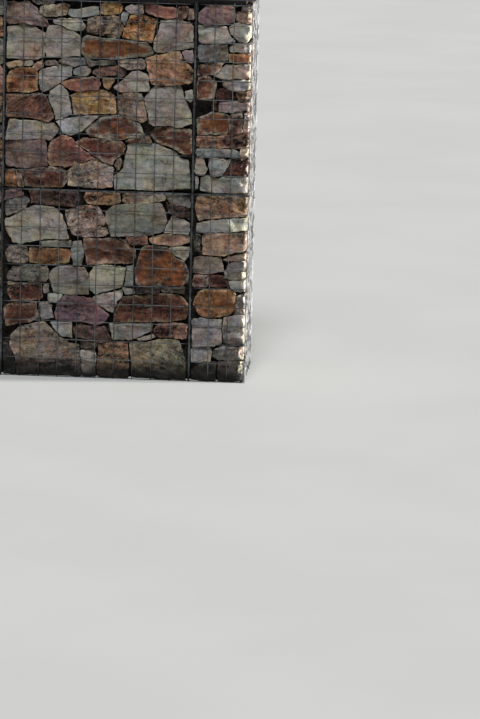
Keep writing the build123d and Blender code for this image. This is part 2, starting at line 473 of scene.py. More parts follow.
        ("cloud", (11.8, 2.2), (12.97, 2.05), (12.97, 2.46), (11.84, 2.5)),
        ("amber", (11.74, 2.6), (12.95, 2.55), (12.97, 3.0), (12.0, 3.08), (11.76, 2.98)),
        ("brick", (10.1, 3.3), (10.9, 3.12), (11.45, 3.08), (11.25, 3.5), (10.9, 3.66),
         (10.15, 3.72)),
        ("sand", (11.5, 3.22), (12.95, 3.18), (12.97, 3.84), (11.35, 3.84), (11.12, 3.72)),
        ("brick", (10.2, 3.92), (10.7, 3.82), (11.05, 4.1), (11.03, 4.88), (10.15, 4.93),
         (10.1, 4.4)),
        ("cloud", (11.45, 3.96), (12.95, 3.93), (12.97, 4.42), (12.3, 4.5), (11.5, 4.38)),
        ("maroon", (11.12, 4.55), (11.5, 4.42), (11.93, 4.6), (12.15, 4.93), (11.14, 4.95)),
        ("umber", (12.2, 4.64), (12.95, 4.55), (12.97, 4.96), (12.3, 4.97)),
        ("pink", (11.28, 5.14), (12.97, 5.1), (12.97, 5.56), (11.3, 5.6)),
        ("maroon", (10.98, 5.1), (11.2, 5.1), (11.2, 5.55), (10.98, 5.5)),
        ("rust", (10.22, 6.08), (10.9, 5.72), (11.4, 5.68), (11.78, 5.85), (11.82, 6.3),
         (11.68, 6.74), (10.9, 6.82), (10.24, 6.8)),
        ("brick", (11.93, 5.76), (12.5, 5.7), (12.54, 6.68), (11.9, 6.76)),
        ("buff", (12.62, 5.68), (12.97, 5.72), (12.97, 6.72), (12.62, 6.7)),
        ("umber", (10.24, 7.02), (11.0, 6.92), (12.0, 6.88), (12.97, 6.84), (12.97, 7.45),
         (11.9, 7.48), (10.6, 7.56), (10.2, 7.45)),
        ("blue", (10.15, 7.7), (10.5, 7.62), (12.2, 7.62), (12.4, 7.83), (12.3, 7.97), (10.4, 7.98),
         (10.12, 7.9)),
        ("tan", (12.5, 7.58), (12.97, 7.56), (12.97, 8.0), (12.48, 8.0)),
        ("cloud", (10.1, 8.15), (10.5, 8.1), (10.65, 8.7), (10.58, 8.93), (10.07, 8.86)),
        ("chalk", (10.85, 8.12), (11.98, 8.12), (11.85, 8.5), (11.55, 8.85), (11.38, 9.05),
         (11.02, 9.05), (10.88, 8.6)),
        ("maroon", (12.1, 8.14), (12.97, 8.1), (12.97, 8.88), (11.7, 8.88), (11.93, 8.6)),
        ("pale", (10.1, 9.05), (10.29, 9.1), (10.27, 9.72), (10.1, 9.64)),
        ("cloud", (10.42, 9.1), (10.95, 9.16), (12.0, 9.02), (12.97, 8.98), (12.97, 9.8),
         (11.0, 9.86), (10.37, 9.76)),
    ],
    "bay_2_lower": [
        ("plum", (0.12, 10.2), (0.95, 10.12), (1.08, 10.34), (0.6, 10.45), (0.14, 10.6)),
        ("grey", (0.22, 10.7), (0.9, 10.5), (1.2, 10.42), (1.33, 10.7), (1.15, 11.06), (0.7, 11.26),
         (0.25, 11.48), (0.2, 11.0)),
        ("purple", (1.42, 10.12), (3.9, 10.1), (3.95, 10.58), (3.8, 10.82), (2.6, 10.77),
         (1.5, 10.74), (1.55, 10.45)),
        ("tan", (4.4, 10.17), (4.7, 10.1), (6.1, 10.08), (6.14, 10.58), (5.6, 10.68), (4.5, 10.63),
         (4.34, 10.4)),
        ("buff", (6.34, 10.25), (6.6, 10.1), (8.4, 10.08), (8.53, 10.28), (8.3, 10.5), (7.4, 10.53),
         (6.6, 10.62), (6.36, 10.48)),
        ("grey", (8.66, 10.14), (9.3, 10.12), (9.9, 10.4), (9.86, 10.68), (9.2, 10.6),
         (8.84, 10.42)),
        ("purple", (8.72, 10.62), (9.2, 10.7), (9.84, 10.78), (9.86, 11.36), (9.4, 11.26),
         (8.8, 11.03)),
        ("stone", (9.0, 11.3), (9.4, 11.36), (9.85, 11.58), (9.88, 12.08), (9.3, 12.14),
         (8.58, 12.12), (8.8, 11.6)),
        ("sand", (0.12, 11.72), (0.7, 11.4), (1.2, 11.12), (1.8, 10.88), (2.7, 11.0), (3.08, 11.4),
         (3.33, 12.1), (3.42, 12.52), (3.1, 12.62), (2.2, 12.58), (1.6, 12.7), (1.0, 12.86),
         (0.6, 12.8), (0.3, 12.2)),
        ("speckle", (3.37, 11.15), (4.0, 10.95), (5.0, 10.8), (5.15, 11.2), (5.43, 11.7),
         (5.55, 12.25), (5.3, 12.42), (4.2, 12.42), (3.7, 12.3), (3.52, 11.7)),
        ("stone", (5.52, 11.1), (5.9, 10.77), (7.0, 10.7), (8.3, 10.6), (8.45, 10.9), (8.58, 11.5),
         (8.43, 12.03), (7.9, 12.18), (6.9, 12.3), (5.8, 12.32), (5.72, 11.95), (5.48, 11.68)),
        ("umber", (6.62, 12.46), (7.6, 12.4), (7.66, 12.73), (6.8, 12.78)),
        ("tan", (7.84, 12.5), (8.2, 12.3), (9.2, 12.22), (9.93, 12.36), (9.85, 12.58),
         (9.3, 12.78), (8.3, 12.73), (7.9, 12.68)),
        ("celadon", (8.93, 12.97), (9.3, 12.88), (9.85, 12.85), (9.82, 13.3), (9.62, 13.48),
         (9.12, 13.22)),
        ("grey", (2.1, 12.84), (2.9, 12.74), (3.6, 12.74), (3.66, 12.97), (3.0, 13.02),
         (2.2, 12.98)),
        ("buff", (0.38, 13.17), (0.9, 13.0), (1.25, 13.2), (1.32, 13.88), (0.35, 13.93),
         (0.25, 13.5)),
        ("amber", (1.53, 13.2), (2.4, 13.12), (3.5, 13.24), (3.6, 13.5), (3.48, 13.83), (2.6, 13.93),
         (1.53, 13.88), (1.47, 13.5)),
        ("blue", (3.77, 12.83), (4.1, 12.8), (4.28, 13.3), (4.2, 13.7), (4.1, 13.95), (3.82, 13.93),
         (3.68, 13.4)),
        ("brick", (4.37, 12.6), (5.1, 12.52), (6.5, 12.62), (6.7, 12.95), (6.97, 13.1),
         (7.02, 13.5), (6.9, 13.78), (5.5, 13.86), (4.55, 13.86), (4.4, 13.2)),
        ("rust", (7.38, 13.08), (7.58, 12.9), (8.2, 12.84), (8.7, 12.95), (9.05, 13.4),
         (9.58, 13.72), (9.84, 14.2), (9.8, 14.68), (9.5, 14.93), (7.4, 15.0), (7.07, 14.88),
         (7.05, 14.2), (7.27, 13.7)),
        ("grey", (0.28, 14.7), (0.6, 14.28), (1.3, 14.18), (2.35, 14.15), (2.42, 14.5),
         (2.38, 14.96), (1.3, 14.94), (0.34, 14.92)),
        ("brick", (0.32, 15.04), (1.2, 15.06), (2.12, 15.06), (2.14, 15.72), (1.8, 15.9),
         (0.6, 15.92), (0.42, 15.6)),
        ("grey", (2.2, 15.1), (2.42, 15.08), (2.42, 15.46), (2.2, 15.5)),
        ("stone", (2.52, 14.5), (2.9, 14.22), (3.5, 14.05), (4.3, 14.2), (4.58, 14.5), (4.6, 15.0),
         (4.56, 15.55), (3.9, 15.58), (3.2, 15.48), (2.77, 15.5), (2.72, 15.0)),
        ("celadon", (4.72, 14.4), (4.95, 14.07), (5.6, 14.0), (6.5, 14.1), (6.43, 14.7),
         (6.28, 15.0), (5.6, 15.28), (5.0, 15.46), (4.74, 15.3)),
        ("stone", (6.64, 14.0), (6.93, 13.96), (6.97, 14.6), (6.97, 15.0), (6.58, 15.0),
         (6.56, 14.5)),
        ("chalk", (2.46, 15.66), (2.8, 15.58), (3.12, 15.65), (3.08, 15.93), (2.5, 15.96)),
        ("plum", (3.02, 16.1), (3.35, 15.74), (3.9, 15.66), (4.7, 15.82), (5.2, 16.22),
         (5.62, 16.65), (5.4, 16.97), (5.0, 17.15), (4.7, 17.08), (4.3, 16.94), (3.0, 16.93),
         (2.86, 16.6)),
        ("cloud", (4.9, 15.76), (5.1, 15.62), (5.9, 15.46), (6.28, 15.32), (6.33, 15.5),
         (6.1, 15.93), (5.85, 16.38), (5.5, 16.26), (5.1, 16.02)),
        ("grey", (6.47, 15.18), (6.95, 15.14), (7.05, 15.37), (6.62, 15.42)),
        ("slate", (7.12, 15.12), (8.35, 15.08), (8.3, 15.3), (7.2, 15.4)),
        ("slate", (8.47, 15.08), (9.6, 15.03), (9.62, 15.28), (8.6, 15.28)),
        ("brick", (6.43, 15.62), (7.2, 15.56), (8.0, 15.44), (9.2, 15.4), (9.58, 15.68),
         (9.84, 15.95), (9.86, 16.4), (9.7, 16.68), (8.6, 16.82), (7.0, 16.9), (6.03, 16.92),
         (6.1, 16.5), (6.2, 16.05)),
        ("brick", (0.2, 16.36), (0.7, 16.17), (1.8, 16.08), (1.85, 16.4), (1.9, 16.82),
         (1.5, 17.06), (0.9, 17.16), (0.3, 17.3), (0.18, 16.9)),
        ("cloud", (2.07, 16.12), (2.55, 16.1), (2.72, 16.82), (2.2, 16.93)),
        ("dun", (0.57, 17.9), (0.9, 17.52), (1.6, 17.28), (2.3, 17.2), (2.75, 17.6), (3.1, 17.95),
         (3.6, 18.27), (4.07, 18.3), (4.18, 19.0), (4.2, 19.96), (0.9, 19.96), (0.8, 19.0),
         (0.5, 18.4)),
        ("blue", (2.62, 17.14), (3.68, 17.08), (3.7, 17.84), (3.2, 17.78), (2.87, 17.54)),
        ("purple", (3.84, 17.4), (4.2, 17.17), (4.6, 17.24), (5.4, 17.28), (5.62, 17.6),
         (5.8, 17.97), (5.3, 18.1), (4.9, 18.06), (4.02, 17.84)),
        ("stone", (5.8, 17.16), (6.5, 17.08), (7.93, 17.06), (7.97, 17.35), (7.4, 17.66),
         (6.8, 17.86), (5.95, 17.92)),
        ("umber", (8.1, 17.44), (8.35, 17.1), (9.0, 17.0), (9.84, 17.06), (9.87, 17.4),
         (9.8, 17.66), (8.9, 17.64), (8.2, 17.64)),
        ("stone", (7.3, 17.84), (8.05, 17.62), (8.15, 17.74), (7.6, 17.92)),
        ("slate", (4.22, 18.0), (5.1, 18.2), (5.07, 18.44), (4.3, 18.42)),
        ("chalk", (4.28, 18.58), (5.0, 18.5), (5.05, 19.2), (5.05, 19.96), (4.38, 19.96),
         (4.34, 19.2)),
        ("tan", (5.24, 18.3), (5.8, 18.17), (6.6, 18.1), (6.7, 18.6), (6.74, 19.96), (5.17, 19.96),
         (5.2, 19.0)),
        ("olive", (6.88, 18.12), (7.5, 18.02), (8.6, 17.86), (9.35, 17.95), (9.6, 18.4),
         (9.75, 19.2), (9.76, 19.96), (7.1, 19.96), (7.0, 19.0)),
        ("slate", (0.14, 18.3), (0.45, 18.5), (0.7, 19.2), (0.72, 19.96), (0.14, 19.96)),
    ],
    "end_cage_lower": [
        ("tan", (10.28, 10.2), (11.0, 10.12), (12.6, 10.1), (12.97, 10.18), (12.95, 11.12),
         (11.9, 11.14), (11.1, 11.22), (10.4, 11.4), (10.25, 10.8)),
        ("chalk", (10.33, 11.62), (11.0, 11.46), (12.3, 11.34), (12.97, 11.3), (12.97, 11.84),
         (11.9, 11.92), (10.3, 11.98)),
        ("tan", (10.53, 12.2), (11.0, 12.06), (12.3, 12.05), (12.97, 12.0), (12.97, 12.86),
         (12.2, 13.05), (11.5, 13.2), (10.6, 13.28), (10.53, 12.7)),
        ("loam", (10.1, 12.2), (10.4, 12.2), (10.4, 12.95), (10.13, 12.95)),
        ("pink", (10.2, 13.5), (10.5, 13.4), (11.5, 13.42), (11.7, 14.05), (10.9, 14.17),
         (10.15, 14.17)),
        ("mauve", (11.8, 13.45), (12.4, 13.17), (12.97, 13.05), (12.97, 13.36), (12.2, 13.5)),
        ("stone", (12.0, 13.78), (12.4, 13.56), (12.97, 13.5), (12.97, 14.38), (12.4, 14.47),
         (11.8, 14.42), (11.82, 14.2)),
        ("brick", (10.1, 14.37), (10.9, 14.32), (10.94, 14.88), (10.1, 14.92)),
        ("maroon", (11.02, 14.32), (11.68, 14.35), (11.95, 14.88), (11.02, 14.92)),
        ("stone", (12.05, 14.62), (12.97, 14.54), (12.97, 15.1), (12.5, 15.12), (12.1, 14.95)),
        ("amber", (10.42, 15.3), (10.7, 15.1), (12.05, 15.08), (12.36, 15.3), (12.33, 16.1),
         (12.0, 16.36), (11.3, 16.54), (10.7, 16.55), (10.45, 16.3), (10.25, 15.9)),
        ("grey", (12.5, 15.4), (12.97, 15.26), (12.97, 16.28), (12.48, 16.34)),
        ("cloud", (10.1, 16.75), (10.5, 16.67), (11.63, 16.7), (11.6, 17.3), (11.63, 17.9),
         (11.3, 18.06), (10.2, 18.12), (10.1, 17.5)),
        ("cloud", (11.84, 16.62), (12.4, 16.45), (12.97, 16.4), (12.97, 17.95), (12.4, 18.06),
         (11.83, 17.92), (11.76, 17.2)),
        ("grey", (10.07, 18.3), (11.13, 18.2), (11.08, 18.9), (10.1, 18.98)),
        ("grey", (11.25, 18.4), (11.8, 18.18), (12.4, 18.22), (12.97, 18.1), (12.97, 18.8),
         (11.5, 18.86), (11.3, 18.7)),
        ("slate", (10.1, 19.12), (11.4, 19.02), (11.43, 19.96), (10.1, 19.96)),
        ("slate", (11.55, 19.0), (12.97, 18.92), (12.97, 19.96), (11.57, 19.96)),
    ],
}


class Face:
    """One upright side of a cage: its lower left corner, the way it looks and its size."""

    def __init__(self, corner, right, width, height):
        self.corner = np.array(corner, float)
        self.right = np.array(right, float)
        self.out = np.cross(self.right, UP)
        self.width = width
        self.height = height
        self.size = np.array((width, height))

    def held(self, outline):
        """Keep an outline inside the cage."""
        return np.clip(outline, CAGE_MARGIN, self.size - CAGE_MARGIN)

    def past(self, outline, side, reach=0.0):
        """Which points lie past an upright line at one side of the face, or within reach of it."""
        if side > self.width / 2:
            return outline[:, 0] > side - reach
        return outline[:, 0] < side + reach

    def world(self, across, above, depth):
        """Points counted along the face, up it and into the wall."""
        across, above, depth = np.broadcast_arrays(across, above, depth)
        return (
            self.corner
            + across[..., None] * self.right
            + above[..., None] * UP
            - depth[..., None] * self.out
        )


def linear(colour):
    """A colour given in 0 to 255 as light values."""
    share = np.asarray(colour, float) / 255
    return np.where(share <= 0.04045, share / 12.92, ((share + 0.055) / 1.055) ** 2.4)


def waves(rng, shortest, longest, count=14):
    """A smooth random height over the plane: many waves, the longer the higher."""
    lengths = np.exp(rng.uniform(math.log(shortest), math.log(longest), count))
    angles = rng.uniform(0, math.tau, count)
    phases = rng.uniform(0, math.tau, count)
    heights = lengths / math.sqrt((lengths**2).sum() / 2)
    steps = np.stack((np.cos(angles), np.sin(angles))) * math.tau / lengths

    def height(points):
        return (np.cos(points @ steps + phases) * heights).sum(-1)

    return height


def heading(angle):
    """The unit vector that points along an angle."""
    return np.array((math.cos(angle), math.sin(angle)))


def leftward(way):
    """A vector turned a quarter to the left."""
    return np.array((-way[1], way[0]))


def unit_left(ways):
    """Many vectors turned a quarter to the left and made one long."""
    left = np.stack((-ways[:, 1], ways[:, 0]), 1)
    return left / np.maximum(TINY, np.linalg.norm(left, axis=1))[:, None]


def normals_in(outline):
    """At each point of an anticlockwise outline, the unit vector pointing into it."""
    return unit_left(np.roll(outline, -1, 0) - np.roll(outline, 1, 0))


def area(outline):
    """Signed area of an outline, positive when it runs anticlockwise."""
    after = np.roll(outline, -1, 0)
    return 0.5 * (outline[:, 0] * after[:, 1] - outline[:, 1] * after[:, 0]).sum()


def thickness(outline):
    """How thick an outline is for its length."""
    return abs(area(outline)) / max(TINY, np.ptp(outline, axis=0).max())


def anticlockwise(outline):
    return outline if area(outline) > 0 else outline[::-1]


def travelled(outline):
    """The way round a closed outline, up to the end of each side."""
    return np.cumsum(np.linalg.norm(np.roll(outline, -1, 0) - outline, axis=1))


def resampled(outline, spacing):
    """The same closed outline with points evenly spaced along it."""
    closed = np.vstack((outline, outline[:1]))
    travel = np.concatenate(([0], travelled(outline)))
    count = max(FEWEST_POINTS, round(travel[-1] / spacing))
    stops = np.arange(count) * travel[-1] / count
    return np.stack([np.interp(stops, travel, closed[:, axis]) for axis in (0, 1)], 1)


def densified(outline, longest):
    """The same outline with long edges divided."""
    points = []
    for start, end in zip(outline, np.roll(outline, -1, 0)):
        pieces = max(1, math.ceil(math.dist(start, end) / longest))
        points.extend(start + (end - start) * step / pieces for step in range(pieces))
    return np.array(points)


def rounded(outline, rng):
    """Round each corner of an outline by a radius of its own."""
    points = []
    for before, corner, after in zip(np.roll(outline, 1, 0), outline, np.roll(outline, -1, 0)):
        radius = rng.uniform(*CORNER_RADIUS)
        start, end = (
            corner + (other - corner) * min(CORNER_SHARE, radius / max(TINY, math.dist(other, corner)))
            for other in (before, after)
        )
        for share in CORNER_STOPS:
            points.append(
                (1 - share) ** 2 * start + 2 * share * (1 - share) * corner + share**2 * end
            )
    return np.array(points)


def roughened(outline, rng, height):
    """Break the smooth line of an outline with chips along it."""
    travel = travelled(outline)
    turn = travel / travel[-1] * math.tau
    chips = np.zeros(len(outline))
    for count in range(3, max(5, int(travel[-1] / CHIP_LENGTH))):
        chips += rng.normal(0, 1 / count**CHIP_FADE) * np.cos(count * turn + rng.uniform(0, math.tau))
    chips *= height / max(TINY, chips.std())
    return outline + normals_in(outline) * np.clip(chips, -2 * height, 2.5 * height)[:, None]


def straightened(line):
    """The corners of an open line, without the points that lie almost between others."""
    way = line[-1] - line[0]
    across = leftward(way) / max(TINY, math.hypot(*way))
    away = np.abs((line - line[0]) @ across)
    furthest = int(away.argmax())
    if away[furthest] < STRAIGHTNESS:
        return [line[0]]
    return straightened(line[: furthest + 1]) + straightened(line[furthest:])


def simplified(outline):
    """An outline with straight edges and crisp corners in place of small wriggles."""
    first = np.linalg.norm(outline - outline.mean(0), axis=1).argmax()
    turned = np.roll(outline, -first, 0)
    second = np.linalg.norm(turned - turned[0], axis=1).argmax()
    closed = np.vstack((turned, turned[:1]))
    return np.array(straightened(closed[: second + 1]) + straightened(closed[second:]))


def clipped(outline, point, keep):
    """The part of a convex outline that lies on one side of a line."""
    side = (outline - point) @ keep
    points = []
    for index, here in enumerate(outline):
        after = (index + 1) % len(outline)
        if side[index] >= 0:
            points.append(here)
        if side[index] * side[after] < 0:
            points.append(here + (outline[after] - here) * side[index] / (side[index] - side[after]))
    return np.array(points).reshape(-1, 2)


def offset(outline, amounts):
    """Move the points of an anticlockwise outline outward, so that its edges stay parallel."""
    inward = normals_in(outline)
    edge = unit_left(np.roll(outline, -1, 0) - outline)
    sharpness = np.clip((inward * edge).sum(1), SHARPEST_CORNER, 1)
    return outline - inward * (amounts / sharpness)[:, None]


def inside(points, outline):
    """Which points lie inside an outline."""
    x, y = points[:, :1], points[:, 1:]
    start, end = outline, np.roll(outline, -1, 0)
    crosses = (start[:, 1] > y) != (end[:, 1] > y)
    run = (end[:, 0] - start[:, 0]) * (y - start[:, 1])
    rise = end[:, 1] - start[:, 1]
    reach = start[:, 0] + run / np.where(rise == 0, TINY, rise)
    return (crosses & (x < reach)).sum(1) % 2 == 1


def nearest(points, outline):
    """Distance from each point to the nearest point of an outline."""
    return np.sqrt(((points[:, None] - outline[None]) ** 2).sum(-1)).min(1)


class Bundle:
    """Closed forms gathered into one mesh."""

    def __init__(self):
        self.points = []
        self.faces = []
        self.count = 0

    def add(self, points, faces):
        self.points.append(points)
        self.faces.extend([[index + self.count for index in face] for face in faces])
        self.count += len(points)

    def mesh(self, name):
        mesh = bpy.data.meshes.new(name)
        mesh.from_pydata(np.vstack(self.points).tolist(), [], self.faces)
        return mesh

    def finish(self, name, material):
        """Put the mesh into the scene, smooth and with its material."""
        mesh = self.mesh(name)
        mesh.polygons.foreach_set("use_smooth", np.ones(len(mesh.polygons), bool))
        mesh.materials.append(material)
        mesh.validate()
        piece = bpy.data.objects.new(name, mesh)
        bpy.context.scene.collection.objects.link(piece)
        return piece


class Pile(Bundle):
    """Stones gathered into one mesh, with what their material needs at each point."""

    def __init__(self):
        super().__init__()
        self.marks = {mark: [] for mark in MARKS}

    def add(self, points, faces, **marks):
        super().add(points, faces)
        for mark, values in marks.items():
            shape = (len(points),) if mark == "edge" else (len(points), 3)
            self.marks[mark].append(np.broadcast_to(np.asarray(values, float), shape))

    def mesh(self, name):
        mesh = super().mesh(name)
        for mark, (layer_type, field) in MARKS.items():
            values = np.concatenate(self.marks[mark])
            if layer_type == "FLOAT_COLOR":
                values = np.hstack((values, np.ones((self.count, 1))))
            layer = mesh.attributes.new(f"stone_{mark}", layer_type, "POINT")
            layer.data.foreach_set(field, values.ravel().astype(np.float32))
        return mesh


def ring_faces(rings, around):
    """A cap under the first of many rings of points, then the quads between the rings."""
    faces = [list(range(around))[::-1]]
    for first in range(0, (rings - 1) * around, around):
        for index in range(around):
            after = (index + 1) % around
            faces.append([first + index, first + after, first + around + after, first + around + index])
    return faces


def spine_of(outline):
    """The middle line of an outline: its centre, direction and half length."""
    centre = outline.mean(0)
    spread = outline - centre
    direction = np.linalg.eigh(spread.T @ spread)[1][:, -1]
    along = spread @ direction
    across = spread @ leftward(direction)
    half = max(0.0, (np.ptp(along) - np.ptp(across)) / 2 * SPINE_SHARE)
    return centre, direction, half


def fallen(beyond, slope, deepest):
    """How deep a broken slope lies beyond its upper edge, levelling out at its deepest."""
    return deepest * (1 - np.exp(-slope * beyond / deepest))


def relief(outline, rng):
    """How deep each point of a stone's face lies: a tilt, split facets, steps and grain."""
    centre = outline.mean(0)
    reach = np.abs(outline - centre).max()
    tilt = rng.normal(0, FACE_TILT, 2) * min(1.0, TILT_REACH / reach)
    broad = waves(rng, *BROAD_WAVES)
    small = waves(rng, *SMALL_WAVES)
    swell = rng.uniform(*BROAD_HEIGHT)
    ripple = rng.uniform(*SMALL_HEIGHT)
    cuts = []
    for number in range(rng.integers(*CUT_COUNT)):
        side = heading(rng.uniform(0, math.tau))
        cuts.append((side, rng.uniform(*CUT_PLACE), rng.uniform(*CUT_SLOPE)))
    ledge_side = heading(math.pi / 2 + rng.normal(0, LEDGE_TURN))
    ledge_height = rng.uniform(*LEDGE_HEIGHT) * (rng.random() < LEDGE_CHANCE)
    ledge_place = rng.uniform(*LEDGE_PLACE) * reach

    def depth(points):
        local = points - centre
        bend = broad(points)
        result = local @ tilt + bend * swell + small(points) * ripple
        for side, share, slope in cuts:
            beyond = np.maximum(0, local @ side - share * reach + CUT_WANDER * bend)
            result += fallen(beyond, slope, DEEPEST_CUT)
        ledge = (local @ ledge_side - ledge_place + LEDGE_WANDER * bend) / LEDGE_WIDTH
        return result + ledge_height / (1 + np.exp(-np.clip(ledge, -LEDGE_LIMIT, LEDGE_LIMIT)))

    return depth


def broken_flank(rng, quoin_side):
    """How deep the face of a quoin falls away towards the corner of the wall, unevenly."""
    width = rng.uniform(*FLANK_WIDTH)
    slope = rng.uniform(*FLANK_SLOPE)
    wander = waves(rng, *SIDE_WAVES)

    def depth(points):
        start = width * np.clip(1 + FLANK_WANDER * wander(points), *FLANK_LIMITS)
        beyond = np.maximum(0, start - np.abs(points[:, 0] - quoin_side))
        return fallen(beyond, slope, FLANK_DEPTH)

    return depth


def face_net(rim, grain, rng):
    """Points of a stone's face: its rim, then an even net of points inside it."""
    low, high = rim.min(0), rim.max(0)
    rows = np.arange(low[1], high[1], grain * ROW_GRAINS)
    columns = np.arange(low[0], high[0], grain)
    net = np.array([(x + grain / 2 * (row % 2), y) for row, y in enumerate(rows) for x in columns])
    net = net + rng.uniform(-NET_JITTER, NET_JITTER, net.shape) * grain
    net = net[inside(net, rim)]
    if len(net):
        net = net[nearest(net, rim) > NET_MARGIN * grain]
    return np.vstack((rim, net)) if len(net) else rim


def triangulated(flat, around):
    """Triangles of a face's points within its rim, or None where the rim crosses itself."""
    result = delaunay_2d_cdt([Vector(p) for p in flat], [], [list(range(around))], 1, SAME_POINT)
    if any(len(found) != 1 for found in result[3]):
        return None
    triangles = []
    for corners in result[2]:
        triangle = [result[3][index][0] for index in corners]
        a, b, c = flat[triangle]
        clockwise = (b[0] - a[0]) * (c[1] - a[1]) - (b[1] - a[1]) * (c[0] - a[0]) < 0
        triangles.append(triangle[::-1] if clockwise else triangle)
    return triangles


def jitter_colour(rng, colour):
    """A stone's own shade of its kind's colour."""
    tone = STONE_SHADE * linear(colour) * rng.normal(1, TONE_SPREAD)
    return tone * rng.normal(1, TINT_SPREAD, 3)


def stone_rings(face, outline, rng, quoin_side, deepest):
    """Rings of a stone from its back to the rim of its face, with their depth and edge marks.

    Returns the chipped outline, the rings and how deep the stone's body goes.
    """
    quoin = quoin_side is not None
    around = len(outline)
    centre, direction, half = spine_of(outline)
    local = outline - centre
    spine = centre + np.clip(local @ direction, -half, half)[:, None] * direction
    ray = spine - outline
    room = np.maximum(TINY, np.linalg.norm(ray, axis=1))
    ray /= room[:, None]
    girth = 2 * abs(area(outline)) / np.ptp(local, axis=0).sum()
    outline = face.held(roughened(outline, rng, min(CHIP_HEIGHT, CHIP_GIRTHS * girth)))
    at_corner = np.zeros(around, bool)
    if quoin:
        outline[face.past(outline, quoin_side), 0] = quoin_side
        at_corner = np.abs(outline[:, 0] - quoin_side) < CORNER_REACH
    across_ray = np.clip((ray * normals_in(outline)).sum(1), 0.5, 1)
    room = np.where(at_corner, QUOIN_ROOM, EDGE_ROOM) * room

    def inset(distance):
        return outline + ray * np.minimum(room, distance / across_ray)[:, None]

    radius = np.full(around, min(rng.uniform(*EDGE_RADIUS), EDGE_GIRTHS * girth))
    if quoin:
        radius[at_corner] = max(radius[0], min(rng.uniform(*QUOIN_RADIUS), QUOIN_GIRTHS * girth))
        for turn in range(3):
            radius = (np.roll(radius, 1) + 2 * radius + np.roll(radius, -1)) / 4
    body = rng.uniform(*(QUOIN_DEPTH if quoin else BODY_DEPTH))
    if deepest - body < END_REMAINDER:
        body = deepest
    taper = rng.uniform(*TAPER) * girth
    side_noise = waves(rng, *SIDE_WAVES)
    side_rings = max(4, round(body / QUOIN_RING)) if quoin else BODY_RINGS
    rings = []
    for number in range(side_rings):
        share = 1 - number / side_rings
        depth = radius + (body - radius) * share**BODY_CURVE
        lean = np.where(at_corner, 0.0, taper * share**TAPER_CURVE)
        bumps = SIDE_BUMP * (1 + side_noise(np.stack((outline.sum(1), depth), 1)))
        back_edge = BACK_EDGE * max(0.0, share - (1 - BACK_SHARE)) / BACK_SHARE
        reach = inset(lean + np.maximum(0, bumps) + back_edge)
        # A side's edge mark is minus its depth, which the finish turns into painted shade; the flat sides
        # at the wall's corners are kept out of it
        rings.append((reach, depth, np.where(at_corner, END_EDGE, -depth)))
    for angle in EDGE_ANGLES:
        turn = math.radians(angle)
        ring = inset(radius * (1 - math.cos(turn)))
        rings.append((ring, radius * (1 - math.sin(turn)), np.zeros(around)))
    return outline, rings, body


def add_stone(pile, face, outline, kind, grain, rng, quoin_side=None, deepest=1.0, tries=3):
    """Carve one stone from the outline of its face and set it into the pile.

    A quoin stands at a corner of the wall: its side there is flat and shows, so it stays
    square to the face. Returns how deep the stone's body goes, at most to the deepest.
    """
    outline = resampled(rounded(anticlockwise(outline), rng), grain)
    centre = outline.mean(0)
    outline, rings, body = stone_rings(face, outline, rng, quoin_side, deepest)
    around = len(outline)
    flat = face_net(rings[-1][0], grain, rng)
    triangles = triangulated(flat, around)
    if triangles is None:
        # An outline that crosses itself is carved anew from its hull
        if not tries:
            return body
        hull = outline[convex_hull_2d([Vector(p) for p in outline])]
        simpler = centre + (hull - centre) * HULL_SHARE
        return add_stone(pile, face, simpler, kind, grain, rng, quoin_side, deepest, tries - 1)
    surface = relief(outline, rng)
    rim_depth, flat_depth = surface(outline), surface(flat)
    lift = rng.uniform(*FACE_CLEARANCE) - min(rim_depth.min(), flat_depth.min())
    if quoin_side is not None:
        flank = broken_flank(rng, quoin_side)
        rim_depth = rim_depth + flank(outline)
        flat_depth = flat_depth + flank(flat)

    sides = rings[:-1]
    points = [np.column_stack((ring, depth + rim_depth + lift)) for ring, depth, edge in sides]
    points[0][:, 2] = body
    points = np.vstack([*points, np.column_stack((flat, flat_depth + lift))])
    edges = [edge for ring, depth, edge in sides]
    faces = ring_faces(len(rings), around)
    base = len(sides) * around
    faces.extend([base + index for index in triangle] for triangle in triangles)

    body_colour, stain, rim_colour, *shares = KINDS[kind]
    bedding = rng.normal(0, BEDDING_TILT)
    level, rise = math.cos(bedding), math.sin(bedding)
    turned = np.array(((level, -rise), (rise, level)))
    grain_place = np.column_stack(((points[:, :2] - centre) @ turned, points[:, 2]))
    pile.add(
        face.world(*points.T),
        faces,
        tone=jitter_colour(rng, body_colour),
        stain=jitter_colour(rng, stain),
        rim=jitter_colour(rng, rim_colour),
        traits=[share * rng.uniform(*spread) for share, spread in zip(shares, TRAIT_SPREADS)],
        grain=grain_place + rng.uniform(-GRAIN_SHIFT, GRAIN_SHIFT, 3),
        edge=np.concatenate([*edges, nearest(flat, outline)]),
    )
    return body


